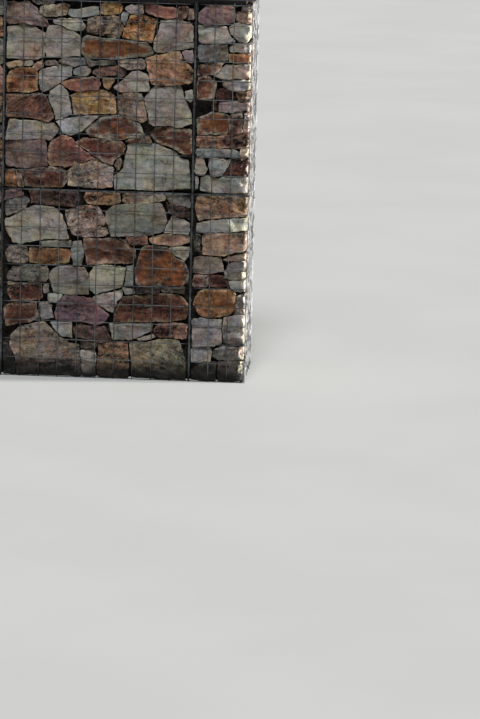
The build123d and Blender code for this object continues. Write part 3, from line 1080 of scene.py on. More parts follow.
def add_core(pile, low, high, rng):
    """The rubble behind the face stones, a rough block that closes every gap, coloured dark as painted
    shade.
    """
    low, high = np.array(low), np.array(high)
    counts = [max(2, round(size / CORE_GRAIN)) for size in high - low]
    index_of = {}
    places = []

    def index_at(step):
        if step not in index_of:
            index_of[step] = len(places)
            places.append(low + (high - low) * step / counts)
        return index_of[step]

    faces = []
    for axis in range(3):
        one, other = (axis + 1) % 3, (axis + 2) % 3
        for end in (0, counts[axis]):
            for i in range(counts[one]):
                for j in range(counts[other]):
                    corners = []
                    for step_one, step_other in ((i, j), (i + 1, j), (i + 1, j + 1), (i, j + 1)):
                        step = [0, 0, 0]
                        step[axis], step[one], step[other] = end, step_one, step_other
                        corners.append(index_at(tuple(step)))
                    faces.append(corners if end else corners[::-1])
    places = np.array(places)
    pull = np.abs(rng.normal(0, CORE_ROUGHNESS, (len(places), 1)))
    inward = np.sign((low + high) / 2 - places) * pull
    # Painted shade: a dark colour, and an edge mark so deep that the stones' painted side shade darkens
    # it in full
    colour = linear(SHADED_CORE_COLOUR)
    pile.add(
        places + inward * (0, 1, 0), faces, tone=colour, stain=colour, rim=colour,
        traits=CORE_TRAITS, grain=places, edge=-CORE_DEPTH,
    )


def split(outline, rng):
    """Split a stretch of wall into the faces of stones, wider than they are tall."""
    if abs(area(outline)) < rng.lognormal(math.log(STONE_AREA), AREA_SPREAD):
        return [outline]
    low, size = outline.min(0), np.ptp(outline, axis=0)
    level = size[0] < size[1] * rng.uniform(*LEVEL_BIAS)
    slab = level and rng.random() < SLAB_CHANCE
    share = rng.uniform(*(SLAB_SHARE if slab else SPLIT_SHARE))
    if rng.random() < 0.5:
        share = 1 - share
    way = heading(rng.normal(0, LEVEL_TILT if level else UPRIGHT_TILT))
    keep = leftward(way) if level else way
    point = low + size * share
    parts = [clipped(outline, point, keep), clipped(outline, point, -keep)]
    if min(len(part) for part in parts) < 3 or min(map(thickness, parts)) < THINNEST_STONE:
        return [outline]
    return split(parts[0], rng) + split(parts[1], rng)


def parted(outline, rng):
    """Draw a stone back from its neighbours and knock off some of its corners."""
    outline = anticlockwise(outline)
    result = outline
    for start, end in zip(outline, np.roll(outline, -1, 0)):
        keep = leftward((end - start) / max(TINY, math.dist(start, end)))
        result = clipped(result, start + keep * rng.uniform(*DRAWN_BACK), keep)
    centre = result.mean(0)
    for corner in result.copy():
        if rng.random() < KNOCK_CHANCE:
            keep = heading(math.atan2(*(centre - corner)[::-1]) + rng.normal(0, KNOCK_TURN))
            knocked = min(KNOCK_SHARE * math.dist(corner, centre), rng.uniform(*KNOCK_SIZE))
            chipped = clipped(result, corner + keep * knocked, keep)
            if len(chipped) > 2:
                result = chipped
    return result


def quarried(face, rng):
    """Stones of random size that fill a face: each one's kind and outline."""
    kinds = [stone[0] for stones in STONES_READ.values() for stone in stones]
    low, high = np.array(SEAM_GAP) / 2, face.size - np.array(SEAM_GAP) / 2
    border = np.array((low, (high[0], low[1]), high, (low[0], high[1])))
    bends = [waves(rng, *BEND_WAVES), waves(rng, *BEND_WAVES)]
    stones = []
    for outline in split(border, rng):
        outline = parted(outline, rng)
        if len(outline) < 3 or thickness(outline) < THINNEST_SLIVER:
            continue
        bent = []
        for corner in densified(outline, BEND_STEP):
            margin = min(corner.min(), (face.size - corner).min())
            give = BEND * min(1.0, max(0.0, margin / BEND_STEP))
            bent.append(corner + give * np.array([bend(corner) for bend in bends]))
        stones.append((str(rng.choice(kinds)), np.array(bent)))
    return stones


def read_stones(column, course):
    """The stones read from the photograph, as outlines in metres on their cage's face."""
    first_opening = OPENINGS * COLUMNS[1:].index(column)
    foot_opening = OPENINGS * (2 - COURSES.index(course))
    stones = []
    for kind, *corners in STONES_READ[f"{column}_{course}"]:
        outline = np.array(corners)
        across = (outline[:, 0] - first_opening) * MESH_OPENING
        above = (foot_opening - outline[:, 1]) * MESH_OPENING
        stones.append((kind, np.column_stack((across, above))))
    return stones


def grown(face, stones, rng):
    """Let every outline grow towards its neighbours until only a joint is left."""
    kinds = [kind for kind, outline in stones]
    outlines = [densified(face.held(anticlockwise(outline)), GROWTH_STEP) for kind, outline in stones]
    joints = rng.uniform(*JOINT, len(stones))
    wander = waves(np.random.default_rng(JOINT_SEED), *JOINT_WAVES)
    left = [np.full(len(outline), LARGEST_GROWTH) for outline in outlines]
    for turn in range(GROWTH_ROUNDS):
        traces = [densified(outline, TRACE_STEP) for outline in outlines]
        owners = np.concatenate([np.full(len(trace), owner) for owner, trace in enumerate(traces)])
        traces = np.vstack(traces)
        results = []
        for number, outline in enumerate(outlines):
            low, high = outline.min(0) - NEIGHBOUR_REACH, outline.max(0) + NEIGHBOUR_REACH
            close = ((traces > low) & (traces < high)).all(1) & (owners != number)
            step = left[number]
            if close.any():
                gap = nearest(outline, traces[close])
                joint = joints[number] * np.clip(1 + JOINT_WANDER * wander(outline), *JOINT_LIMITS)
                step = np.clip((gap - joint) / 2, 0, step)
            free = (np.minimum(outline, face.size - outline) - SEAM_GAP).min(1)
            step = np.minimum(step, np.maximum(0, free))
            step = np.minimum(step, np.minimum(np.roll(step, 1), np.roll(step, -1)) + GROWTH_CHANGE)
            left[number] = left[number] - step
            results.append(face.held(offset(outline, step)))
        outlines = results
    return [(kind, simplified(outline)) for kind, outline in zip(kinds, outlines)]


def quoin_line(quoins, height):
    """How far the corner stones reach along the end of the wall, at each height."""
    heights = np.linspace(0, height, END_LINE_STEPS + 1)
    reach = np.full(len(heights), SHALLOWEST_QUOIN)
    for low, high, depth in quoins:
        covered = (heights > low - QUOIN_MARGIN) & (heights < high + QUOIN_MARGIN)
        reach[covered] = np.maximum(reach[covered], depth)
    window = np.ones(END_LINE_WINDOW) / END_LINE_WINDOW
    smooth = np.convolve(np.pad(reach, END_LINE_WINDOW // 2, "edge"), window, "valid")
    return heights, np.maximum(reach, smooth)


def fill_face(pile, face, stones, grain, rng, quoin_side=None, opposite=()):
    """Set one face's stones, and list the corner stones with their span and depth.

    The opposite quoins are those of the other face: both share the wall's end.
    """
    quoins = []
    heights, taken = quoin_line(opposite, face.height)
    for kind, outline in grown(face, stones, rng):
        if quoin_side is None or not face.past(outline, quoin_side, QUOIN_REACH).any():
            add_stone(pile, face, outline, kind, grain, rng)
            continue
        outline[face.past(outline, quoin_side, QUOIN_REACH), 0] = quoin_side
        low, high = outline[:, 1].min(), outline[:, 1].max()
        beside = (heights > low - QUOIN_OVERLAP) & (heights < high + QUOIN_OVERLAP)
        deepest = END_DEPTH - taken[beside].max()
        depth = add_stone(pile, face, outline, kind, grain, rng, quoin_side, deepest)
        quoins.append((low, high, depth))
    return quoins


def fill_end(pile, face, left_quoins, right_quoins, rng):
    """Set the stones of a wall end between the corner stones of both faces."""
    heights, left = quoin_line(left_quoins, face.height)
    right = quoin_line(right_quoins, face.height)[1]
    for kind, outline in grown(face, quarried(face, rng), rng):
        across, above = outline.T
        lowest = np.interp(above, heights, left) + END_JOINT
        highest = face.width - np.interp(above, heights, right) - END_JOINT
        squeezed = np.clip(across, lowest, np.maximum(lowest, highest))
        fitted = np.column_stack((squeezed, above))
        if abs(area(fitted)) < SMALLEST_END_STONE or thickness(fitted) < THINNEST_END_STONE:
            continue
        add_stone(pile, face, fitted, kind, OTHER_GRAIN, rng)


def tube(points, radius, sides, first_side):
    """Points and faces of a round wire along a line of points."""
    points = np.asarray(points, float)
    along = np.gradient(points, axis=0)
    along /= np.linalg.norm(along, axis=1)[:, None]
    side = np.asarray(first_side, float)
    turns = (np.arange(sides) + 0.5) * math.tau / sides
    rings = []
    for point, way in zip(points, along):
        side = side - way * (side @ way)
        side = side / np.linalg.norm(side)
        other = np.cross(way, side)
        rings.append(point + radius * (np.cos(turns)[:, None] * side + np.sin(turns)[:, None] * other))
    last = (len(points) - 1) * sides
    end_cap = [last + index for index in range(sides)]
    return np.vstack(rings), [*ring_faces(len(points), sides), end_cap]


def weld(middle, right, up, out):
    """A squashed bead of weld metal where two wires cross."""
    turns = np.arange(WELD_SIDES) * math.tau / WELD_SIDES
    ring = middle + WELD_REACH * (np.cos(turns)[:, None] * right + np.sin(turns)[:, None] * up)
    points = np.vstack((ring, middle + out * WELD_HEIGHT, middle - out * WELD_HEIGHT))
    faces = []
    for index in range(WELD_SIDES):
        after = (index + 1) % WELD_SIDES
        faces.append([index, after, WELD_SIDES])
        faces.append([after, index, WELD_SIDES + 1])
    return points, faces


def wire_panel(name, face, stub, material, rng):
    """Round wires of one welded panel: uprights outside, level wires behind, and welds."""
    bundle = Bundle()
    width, height = face.size
    top = height + stub
    foot = face.corner[2]
    columns = round(width / MESH_OPENING)
    rows = round(height / MESH_OPENING)
    across_at = WIRE / 2 + np.arange(columns + 1) * (width - WIRE) / columns
    above_at = WIRE / 2 + np.arange(rows + 1) * (height - WIRE) / rows
    drift = waves(rng, *WIRE_WAVES)
    sway = waves(rng, *WIRE_WAVES)

    def settled(across, above):
        """Where a crossing really lies: wires wander a little and the panel bulges."""
        place = np.array((across, above))
        free = math.sin(math.pi * across / width) * math.sin(math.pi * min(1, above / height))
        free = max(0.0, free)
        reach = min(1.0, WANDER_ONSET * free) * WIRE_WANDER
        return across + reach * drift(place), above + reach * sway(place), PANEL_BULGE * free

    def stops(places, start, end):
        """Points along a wire: both ends, each crossing and halfway between crossings."""
        inner = np.sort(np.concatenate((places, (places[1:] + places[:-1]) / 2)))
        inner = inner[(inner > start + STOP_GAP) & (inner < end - STOP_GAP)]
        return np.concatenate(([start], inner, [end]))

    for across in across_at:
        line = [settled(across, above) for above in stops(above_at, 0, top)]
        path = [face.world(x, z, WIRE / 2 - bulge) for x, z, bulge in line]
        path[0] = face.world(across, 0.0, WIRE / 2)
        path[-1] = face.world(across, top, WIRE / 2)
        points, faces = tube(path, WIRE / 2, WIRE_SIDES, face.right)
        points[:, 2] = np.maximum(points[:, 2], foot)
        bundle.add(points, faces)
    for above in above_at:
        line = [settled(across, above) for across in stops(across_at, 0, width)]
        path = [face.world(x, z, 1.5 * WIRE - bulge) for x, z, bulge in line]
        path[0] = face.world(0.0, above, 1.5 * WIRE)
        path[-1] = face.world(width, above, 1.5 * WIRE)
        path = np.maximum(path, (-math.inf, -math.inf, foot + WIRE / 2))
        bundle.add(*tube(path, WIRE / 2, WIRE_SIDES, UP))
    for across in across_at:
        for above in above_at:
            x, z, bulge = settled(across, above)
            bead, bead_faces = weld(face.world(x, z, WIRE - bulge), face.right, UP, face.out)
            bead[:, 2] = np.maximum(bead[:, 2], foot)
            bundle.add(bead, bead_faces)
    return bundle.finish(name, material)


def binding(name, path, side, material):
    """One binding wire bent along a path."""
    bundle = Bundle()
    bundle.add(*tube(path, SPIRAL_WIRE / 2, SPIRAL_SIDES, side))
    return bundle.finish(name, material)


def spiral(name, start, end, side, material, rng):
    """A binder wound round the wires where two panels meet."""
    start, end, side = (np.array(vector, float) for vector in (start, end, side))
    length = np.linalg.norm(end - start)
    way = (end - start) / length
    other = np.cross(way, side)
    turns = length / SPIRAL_PITCH
    shares = np.linspace(0, 1, round(turns * SPIRAL_STEPS) + 1)
    angles = shares * turns * math.tau + rng.uniform(0, math.tau)
    sag = SPIRAL_SLACK * np.sin(angles * SLACK_RATE + rng.uniform(0, math.tau))
    slack = SPIRAL_RADIUS * (1 + sag)
    path = (
        start
        + shares[:, None] * length * way
        + (slack * np.cos(angles))[:, None] * side
        + (slack * np.sin(angles))[:, None] * other
    )
    return binding(name, path, side, material)


def loop(name, middle, side, along, material):
    """A closed loop of lacing wire, pinched at its far end like a leaf."""
    middle, side, along = (np.array(vector, float) for vector in (middle, side, along))
    turns = np.linspace(0, math.tau, LOOP_STEPS + 1)
    pinch = 1 - LOOP_PINCH * (1 - np.cos(turns)) / 2
    path = (
        middle
        + (LOOP_HALF_WIDTH * pinch * np.sin(turns))[:, None] * side
        + (LOOP_HALF_LENGTH * np.cos(turns))[:, None] * along
    )
    return binding(name, path, np.cross(side, along), material)


class Shader:
    """The node tree of one material, built up step by step."""

    def __init__(self, name):
        self.material = bpy.data.materials.new(name)
        self.material.use_nodes = True
        self.tree = self.material.node_tree
        self.tree.nodes.clear()
        self.surface = self.add("ShaderNodeBsdfPrincipled")
        output = self.add("ShaderNodeOutputMaterial")
        self.join(self.surface.outputs[0], output.inputs["Surface"])

    def add(self, kind, values=None, **settings):
        """A node with its settings and the values or links of its sockets."""
        node = self.tree.nodes.new(kind)
        for name, setting in settings.items():
            setattr(node, name, setting)
        for socket, value in (values or {}).items():
            self.join(value, node.inputs[socket])
        return node

    def join(self, value, socket):
        """Link a socket to another, or set its value."""
        if isinstance(value, bpy.types.NodeSocket):
            self.tree.links.new(value, socket)
        else:
            socket.default_value = value

    def finish(self, sockets):
        """Set the surface's own sockets by name, and hand over the material."""
        for name, value in sockets.items():
            self.join(value, self.surface.inputs[name])
        return self.material

    def mark(self, name, output="Color"):
        return self.add("ShaderNodeAttribute", attribute_name=name).outputs[output]

    def place(self):
        return self.add("ShaderNodeTexCoord").outputs["Object"]

    def normal(self, output="Normal"):
        return self.add("ShaderNodeNewGeometry").outputs[output]

    def parts(self, vector):
        """The three numbers of a vector."""
        return self.add("ShaderNodeSeparateXYZ", {0: vector}).outputs

    def noise(self, vector, name):
        """Noise between 0 and 1, as listed under its name."""
        if name in STRETCH:
            mapping = {"Vector": vector, "Scale": STRETCH[name]}
            vector = self.add("ShaderNodeMapping", mapping).outputs[0]
        sockets = ("Scale", "Detail", "Roughness", "Distortion")
        values = {"Vector": vector, **dict(zip(sockets, NOISE[name]))}
        return self.add("ShaderNodeTexNoise", values).outputs["Fac"]

    def vector_math(self, operation, sockets):
        return self.add("ShaderNodeVectorMath", sockets, operation=operation).outputs[0]

    def warped(self, vector, scale, reach):
        """A place shifted about by noise, so that straight lines drawn on it waver."""
        colours = self.add("ShaderNodeTexNoise", {"Vector": vector, "Scale": scale}).outputs["Color"]
        shift = self.vector_math("ADD", {0: colours, 1: (-0.5, -0.5, -0.5)})
        scaled = self.vector_math("SCALE", {0: shift, "Scale": reach})
        return self.vector_math("ADD", {0: vector, 1: scaled})

    def cells(self, vector, name):
        """How far a place is from the nearest of many points, or from the edge between two."""
        scale, feature = CELLS[name]
        node = self.add("ShaderNodeTexVoronoi", {"Vector": vector, "Scale": scale}, feature=feature)
        return node.outputs["Distance"]

    def math(self, operation, one, other=0.0, clamp=False):
        node = self.add("ShaderNodeMath", {0: one, 1: other}, operation=operation, use_clamp=clamp)
        return node.outputs[0]

    def size(self, value):
        return self.math("ABSOLUTE", value)

    def plus(self, one, other):
        return self.math("ADD", one, other)

    def times(self, one, other):
        return self.math("MULTIPLY", one, other)

    def share(self, one, other):
        """A product kept between 0 and 1."""
        return self.math("MULTIPLY", one, other, True)

    def ranged(self, value, low, high, new_low=0.0, new_high=1.0):
        """A value spread from one range to another, and kept within it."""
        values = {0: value, 1: low, 2: high, 3: new_low, 4: new_high}
        return self.add("ShaderNodeMapRange", values, interpolation_type="SMOOTHSTEP").outputs[0]

    def mix(self, share, one, other, blend="MIX"):
        values = {0: share, 6: one, 7: other}
        return self.add("ShaderNodeMix", values, data_type="RGBA", blend_type=blend).outputs[2]

    def tinted(self, colour, tint):
        return self.mix(1.0, colour, tint, "MULTIPLY")

    def shaded(self, colour, value):
        """A colour multiplied by the same value in all three channels."""
        grey = self.add("ShaderNodeCombineColor", {0: value, 1: value, 2: value}).outputs[0]
        return self.tinted(colour, grey)

    def between(self, share, colours):
        """A colour between the two of a pair."""
        return self.mix(share, *map(rgba, colours))

    def bump(self, height, distance, strength):
        values = {"Height": height, "Distance": distance, "Strength": strength}
        return self.add("ShaderNodeBump", values).outputs[0]


def rgba(colour):
    return (*linear(colour), 1.0)


def stone_material():
    """Split sandstone: stained, banded, veined and speckled, with weathered rims, painted shade and
    highlights, and a darker foot.
    """
    shader = Shader("fill_stone")
    grain = shader.mark("stone_grain", "Vector")
    edge = shader.mark("stone_edge", "Fac")
    stain_share, rim_share, speckle = shader.parts(shader.mark("stone_traits", "Vector"))

    # Noise of falling size: clouds of 80 mm, blots of 25 mm, grit of 9 mm and grains of 4 mm
    sizes = ("clouds", "blots", "grit", "grains", "bands")
    clouds, blots, coarse, fine, bands = (shader.noise(grain, size) for size in sizes)

    # Stains and iron bands that follow the bedding, ragged at their edges
    mixed = shader.plus(clouds, shader.times(shader.math("SUBTRACT", blots, 0.5), 0.45))
    cloud_cover = shader.ranged(mixed, 0.48, 0.6)
    band_cover = shader.ranged(bands, 0.53, 0.66, 0.0, 0.85)
    stained = shader.math("MAXIMUM", cloud_cover, band_cover)
    stained = shader.share(stained, shader.share(stain_share, 1.7))
    colour = shader.mix(stained, shader.mark("stone_tone"), shader.mark("stone_stain"))

    # Dark blots of iron and soot, and a crust of pale dust
    dark = shader.ranged(shader.noise(grain, "iron"), 0.54, 0.68)
    dark = shader.share(dark, speckle)
    colour = shader.mix(shader.times(dark, 0.5), colour, rgba(IRON_BLOT))
    dust = shader.ranged(shader.noise(grain, "dust"), 0.56, 0.72, 0.0, 0.5)
    colour = shader.mix(shader.share(dust, rim_share), colour, shader.mark("stone_rim"))

    # Weathered rim of uneven width, broken up, and near the edge a paler tone where the stone looks
    # upward, partly dust and partly a painted highlight from above
    ragged = shader.noise(grain, "ragged")
    uneven = shader.plus(ragged, shader.noise(grain, "rim"))
    width = shader.ranged(uneven, 0.84, 1.16, 0.001, 0.026)
    rim_cover = shader.ranged(shader.math("DIVIDE", edge, width), 0.1, 1.3, 1.0, 0.0)
    rim_cover = shader.share(rim_cover, shader.times(rim_share, 1.6))
    colour = shader.mix(rim_cover, colour, shader.mark("stone_rim"))
    facing = shader.parts(shader.normal("True Normal"))
    upward = shader.ranged(facing[2], 0.12, 0.6, 0.0, 0.45)
    outer = shader.ranged(edge, -0.012, 0.0, 0.0, 1.0)
    colour = shader.mix(shader.times(upward, outer), colour, shader.mark("stone_rim"))

    # Painted highlight: near the corners of the wall, flanks that turn towards its ends are paled towards
    # near-white, as if sunlit
    along, through, height = (shader.size(part) for part in shader.parts(shader.place()))
    turned = shader.ranged(shader.size(facing[0]), 0.2, 0.5)
    turned = shader.times(turned, shader.ranged(ragged, 0.4, 0.6, 0.0, 0.75))
    near_end = shader.ranged(along, HALF_LENGTH - 0.065, HALF_LENGTH - 0.04)
    near_face = shader.ranged(through, HALF_DEPTH - 0.06, HALF_DEPTH - 0.028)
    at_corner = shader.times(near_end, near_face)
    colour = shader.mix(shader.times(turned, at_corner), colour, rgba(SUNLIT_FLANK_WHITE))

    # Thin dark cracks that come and go
    crack = shader.cells(shader.warped(grain, *CRACK_WARP), "cracks")
    crack = shader.ranged(crack, 0.0, 0.035, 1.0, 0.0)
    cracked = shader.times(crack, shader.ranged(clouds, 0.5, 0.6))
    colour = shader.mix(shader.times(cracked, 0.6), colour, rgba(CRACK))

    # Warm and cool patches, then light and dark grains, fainter on an even stone
    lively = shader.ranged(speckle, 0.1, 0.7, 0.5, 1.25)
    for patch, tints in PATCH_TINTS.items():
        hue = shader.ranged(shader.noise(grain, patch), 0.38, 0.62)
        colour = shader.tinted(colour, shader.mix(hue, *tints))
    tinge = shader.mix(shader.ranged(blots, 0.4, 0.6), *BLOT_TINTS)
    colour = shader.mix(speckle, colour, tinge, "MULTIPLY")
    mottle = shader.ranged(blots, 0.36, 0.64, -0.45, 0.45)
    mottle = shader.times(mottle, shader.ranged(speckle, 0.2, 1.0, 0.5, 1.0))
    streaks = shader.ranged(bands, 0.37, 0.63, -0.28, 0.28)
    broad = shader.ranged(shader.noise(grain, "broad"), 0.36, 0.64, -0.34, 0.34)
    grit = shader.plus(shader.plus(mottle, streaks), broad)
    for noise, low, strength in ((coarse, 0.36, 0.24), (fine, 0.3, 0.12), (clouds, 0.38, -0.14)):
        grit = shader.plus(grit, shader.ranged(noise, low, 1 - low, -strength, strength))
    grit = shader.plus(shader.times(grit, lively), 1.0)
    colour = shader.shaded(colour, grit)
    spots = shader.ranged(shader.cells(grain, "specks"), 0.1, 0.35, 1.0, 0.0)
    specks = shader.times(speckle, shader.ranged(blots, 0.45, 0.6))
    colour = shader.mix(shader.share(spots, specks), colour, rgba(IRON_SPECK))

    # Painted shade: the sides darken as they run back between the stones
    colour = shader.shaded(colour, shader.ranged(edge, -0.04, 0.0, 0.5, 1.0))

    # Darker towards the foot, with an uneven upper edge
    ripple = shader.ranged(shader.noise(shader.place(), "ripple"), 0.3, 0.7, -0.018, 0.022)
    foot_cover = shader.ranged(shader.plus(height, ripple), 0.025, 0.105, 1.0, 0.0)
    foot_fade = shader.ranged(shader.plus(height, ripple), 0.02, 0.13, 0.5, 1.0)
    colour = shader.shaded(colour, foot_fade)
    colour = shader.mix(shader.times(foot_cover, 0.9), colour, rgba(FOOT_DARK))

    # Grain, pits, cracks and bedding as bump, over the carved shape
    pits = shader.ranged(shader.cells(grain, "pits"), 0.0, 0.45)
    bumps = shader.times(blots, 1.4)
    for noise, height_share in ((coarse, 0.6), (fine, 0.2), (bands, 0.9), (pits, 0.2)):
        bumps = shader.plus(bumps, shader.times(noise, height_share))
    bumps = shader.math("SUBTRACT", bumps, shader.times(cracked, 0.5))
    rough = shader.plus(shader.ranged(fine, 0.3, 0.7, 0.8, 0.95), shader.times(foot_cover, -0.25))
    return shader.finish({
        "Base Color": colour, "Roughness": rough, "Specular IOR Level": 0.2,
        "Normal": shader.bump(bumps, 0.006, 0.75),
    })


def wire_material():
    """Zinc on steel wire: dull and brown in places along the wall, with painted shade on its sides and a
    painted highlight on the wall's ends.
    """
    shader = Shader("mesh_wire")
    place = shader.place()
    spangle = shader.noise(place, "spangle")
    patches = shader.noise(place, "rust")
    worn = shader.ranged(shader.noise(place, "worn"), 0.44, 0.58)
    dull = shader.between(shader.ranged(spangle, 0.3, 0.7), DULL_ZINC)
    fresh = shader.between(shader.ranged(spangle, 0.3, 0.7), FRESH_ZINC)
    colour = shader.mix(worn, dull, fresh)
    brown = shader.ranged(patches, 0.62, 0.74, 0.0, 0.6)
    colour = shader.mix(brown, colour, rgba(WIRE_RUST))

    # Painted shade: the wires darken except where they look straight out, and they darken towards the
    # foot
    along, through, height = shader.parts(place)
    outward = shader.size(shader.parts(shader.normal())[1])
    painted_shade = shader.ranged(outward, 0.88, 1.0, 0.2, 1.0)
    painted_shade = shader.times(painted_shade, shader.ranged(height, 0.01, 0.12, 0.3, 1.0))
    colour = shader.shaded(colour, painted_shade)
    # Painted highlight: on the wall's ends the wires take near-white sunlit zinc, broken by darker
    # patches
    sunlit_end = shader.ranged(shader.size(along), HALF_LENGTH - 0.014, HALF_LENGTH - 0.006)
    grime = shader.ranged(shader.noise(place, "grime"), 0.4, 0.62)
    sunlit_zinc = shader.between(grime, SUNLIT_ZINC)
    colour = shader.mix(sunlit_end, colour, sunlit_zinc)
    rough = shader.ranged(spangle, 0.3, 0.7, 0.38, 0.6)
    return shader.finish({
        "Base Color": colour, "Metallic": 0.4, "Roughness": rough,
        "Normal": shader.bump(spangle, 0.0004, 0.6),
    })


def coping_material():
    """Sawn dark stone with fine saw lines, pale flecks and dusty drips."""
    shader = Shader("coping_stone")
    place = shader.place()
    flecks = shader.noise(place, "flecks")
    clouds = shader.noise(place, "slab")
    saw = shader.noise(place, "saw")
    colour = shader.between(shader.ranged(clouds, 0.35, 0.7), COPING)
    colour = shader.mix(shader.ranged(flecks, 0.6, 0.75, 0.0, 0.5), colour, rgba(COPING_FLECK))
    drips = shader.noise(place, "drips")
    colour = shader.mix(shader.ranged(drips, 0.55, 0.75, 0.0, 0.45), colour, rgba(COPING_DRIP))
    bumps = shader.plus(saw, shader.times(flecks, 0.6))
    rough = shader.ranged(clouds, 0.3, 0.7, 0.55, 0.75)
    return shader.finish({
        "Base Color": colour, "Roughness": rough, "Normal": shader.bump(bumps, 0.0007, 0.6),
    })


def mortar_material():
    """Coarse bedding mortar, sandy and pocked, coloured near black as painted shade under the coping."""
    shader = Shader("bed_mortar")
    place = shader.place()
    sand = shader.noise(place, "sand")
    clouds = shader.noise(place, "bed")
    pocks = shader.ranged(shader.cells(place, "pocks"), 0.05, 0.3)
    colour = shader.between(shader.ranged(clouds, 0.35, 0.7), MORTAR_IN_SHADE)
    colour = shader.mix(shader.ranged(sand, 0.55, 0.72, 0.0, 0.6), colour, rgba(MORTAR_SAND_IN_SHADE))
    bumps = shader.plus(sand, pocks)
    rough = shader.ranged(sand, 0.3, 0.7, 0.85, 0.98)
    return shader.finish({
        "Base Color": colour, "Roughness": rough, "Normal": shader.bump(bumps, 0.002, 0.8),
    })


def floor_material():
    """Plain pale floor with the faintest change of tint."""
    shader = Shader("studio_floor")
    tint = shader.noise(shader.place(), "floor")
    colour = shader.between(shader.ranged(tint, 0.3, 0.7), FLOOR)
    rough = shader.ranged(tint, 0.3, 0.7, 0.8, 0.9)
    return shader.finish({"Base Color": colour, "Roughness": rough})


def face_of(name):
    """The outer face of a mesh panel, and how far its uprights stand over its height."""
    low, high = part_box(name)
    foot = 0.0 if name.endswith("lower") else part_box(name.replace("upper", "lower"))[1].z
    height = round(high.z - foot, 1)
    length, depth = high.x - low.x, high.y - low.y
    if name.startswith("front"):
        face = Face((low.x, low.y, foot), (1, 0, 0), length, height)
    elif name.startswith("back"):
        face = Face((high.x, high.y, foot), (-1, 0, 0), length, height)
    elif name.startswith("right_end"):
        face = Face((high.x, low.y, foot), (0, 1, 0), depth, height)
    else:
        face = Face((low.x, high.y, foot), (0, -1, 0), depth, height)
    return face, high.z - foot - height


def dress_fill(course, material):
    """Stones of the three cages of one course."""
    for number, column in enumerate(COLUMNS):
        name = f"stone_fill_{column}_{course}"
        rng = np.random.default_rng(SEED + 10 * number + COURSES.index(course))
        low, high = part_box(name)
        width, depth, height = high - low
        pile = Pile()
        front = Face(low, (1, 0, 0), width, height)
        back = Face((high.x, high.y, low.z), (-1, 0, 0), width, height)
        if f"{column}_{course}" in STONES_READ:
            stones = read_stones(column, course)
        else:
            stones = quarried(front, rng)
        last, first = column == COLUMNS[-1], column == COLUMNS[0]
        right_quoin, left_quoin = width - CAGE_MARGIN, CAGE_MARGIN
        front_quoin = right_quoin if last else left_quoin if first else None
        back_quoin = left_quoin if last else right_quoin if first else None
        front_quoins = fill_face(pile, front, stones, PHOTO_GRAIN, rng, front_quoin)
        back_stones = quarried(back, rng)
        back_quoins = fill_face(pile, back, back_stones, OTHER_GRAIN, rng, back_quoin, front_quoins)
        core_low = [low.x, low.y + CORE_DEPTH, low.z + CORE_CLEARANCE]
        core_high = [high.x, high.y - CORE_DEPTH, high.z - CORE_CLEARANCE]
        if last:
            end = Face((high.x, low.y, low.z), (0, 1, 0), depth, height)
            fill_end(pile, end, front_quoins, back_quoins, rng)
            core_high[0] = high.x - CORE_DEPTH
        if first:
            end = Face((low.x, high.y, low.z), (0, -1, 0), depth, height)
            fill_end(pile, end, back_quoins, front_quoins, rng)
            core_low[0] = low.x + CORE_DEPTH
        add_core(pile, core_low, core_high, rng)
        piece = pile.finish(f"stones_{column}_{course}", material)
        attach(piece, "root")
        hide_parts(name)


def dress_mesh(material):
    """Round wires in place of every flat mesh panel."""
    names = sorted(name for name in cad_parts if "_mesh_" in name)
    for number, name in enumerate(names):
        rng = np.random.default_rng(MESH_SEED + number)
        face, stub = face_of(name)
        piece = wire_panel(name.replace("mesh", "wires"), face, stub, material, rng)
        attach(piece, "root")
        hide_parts(name)


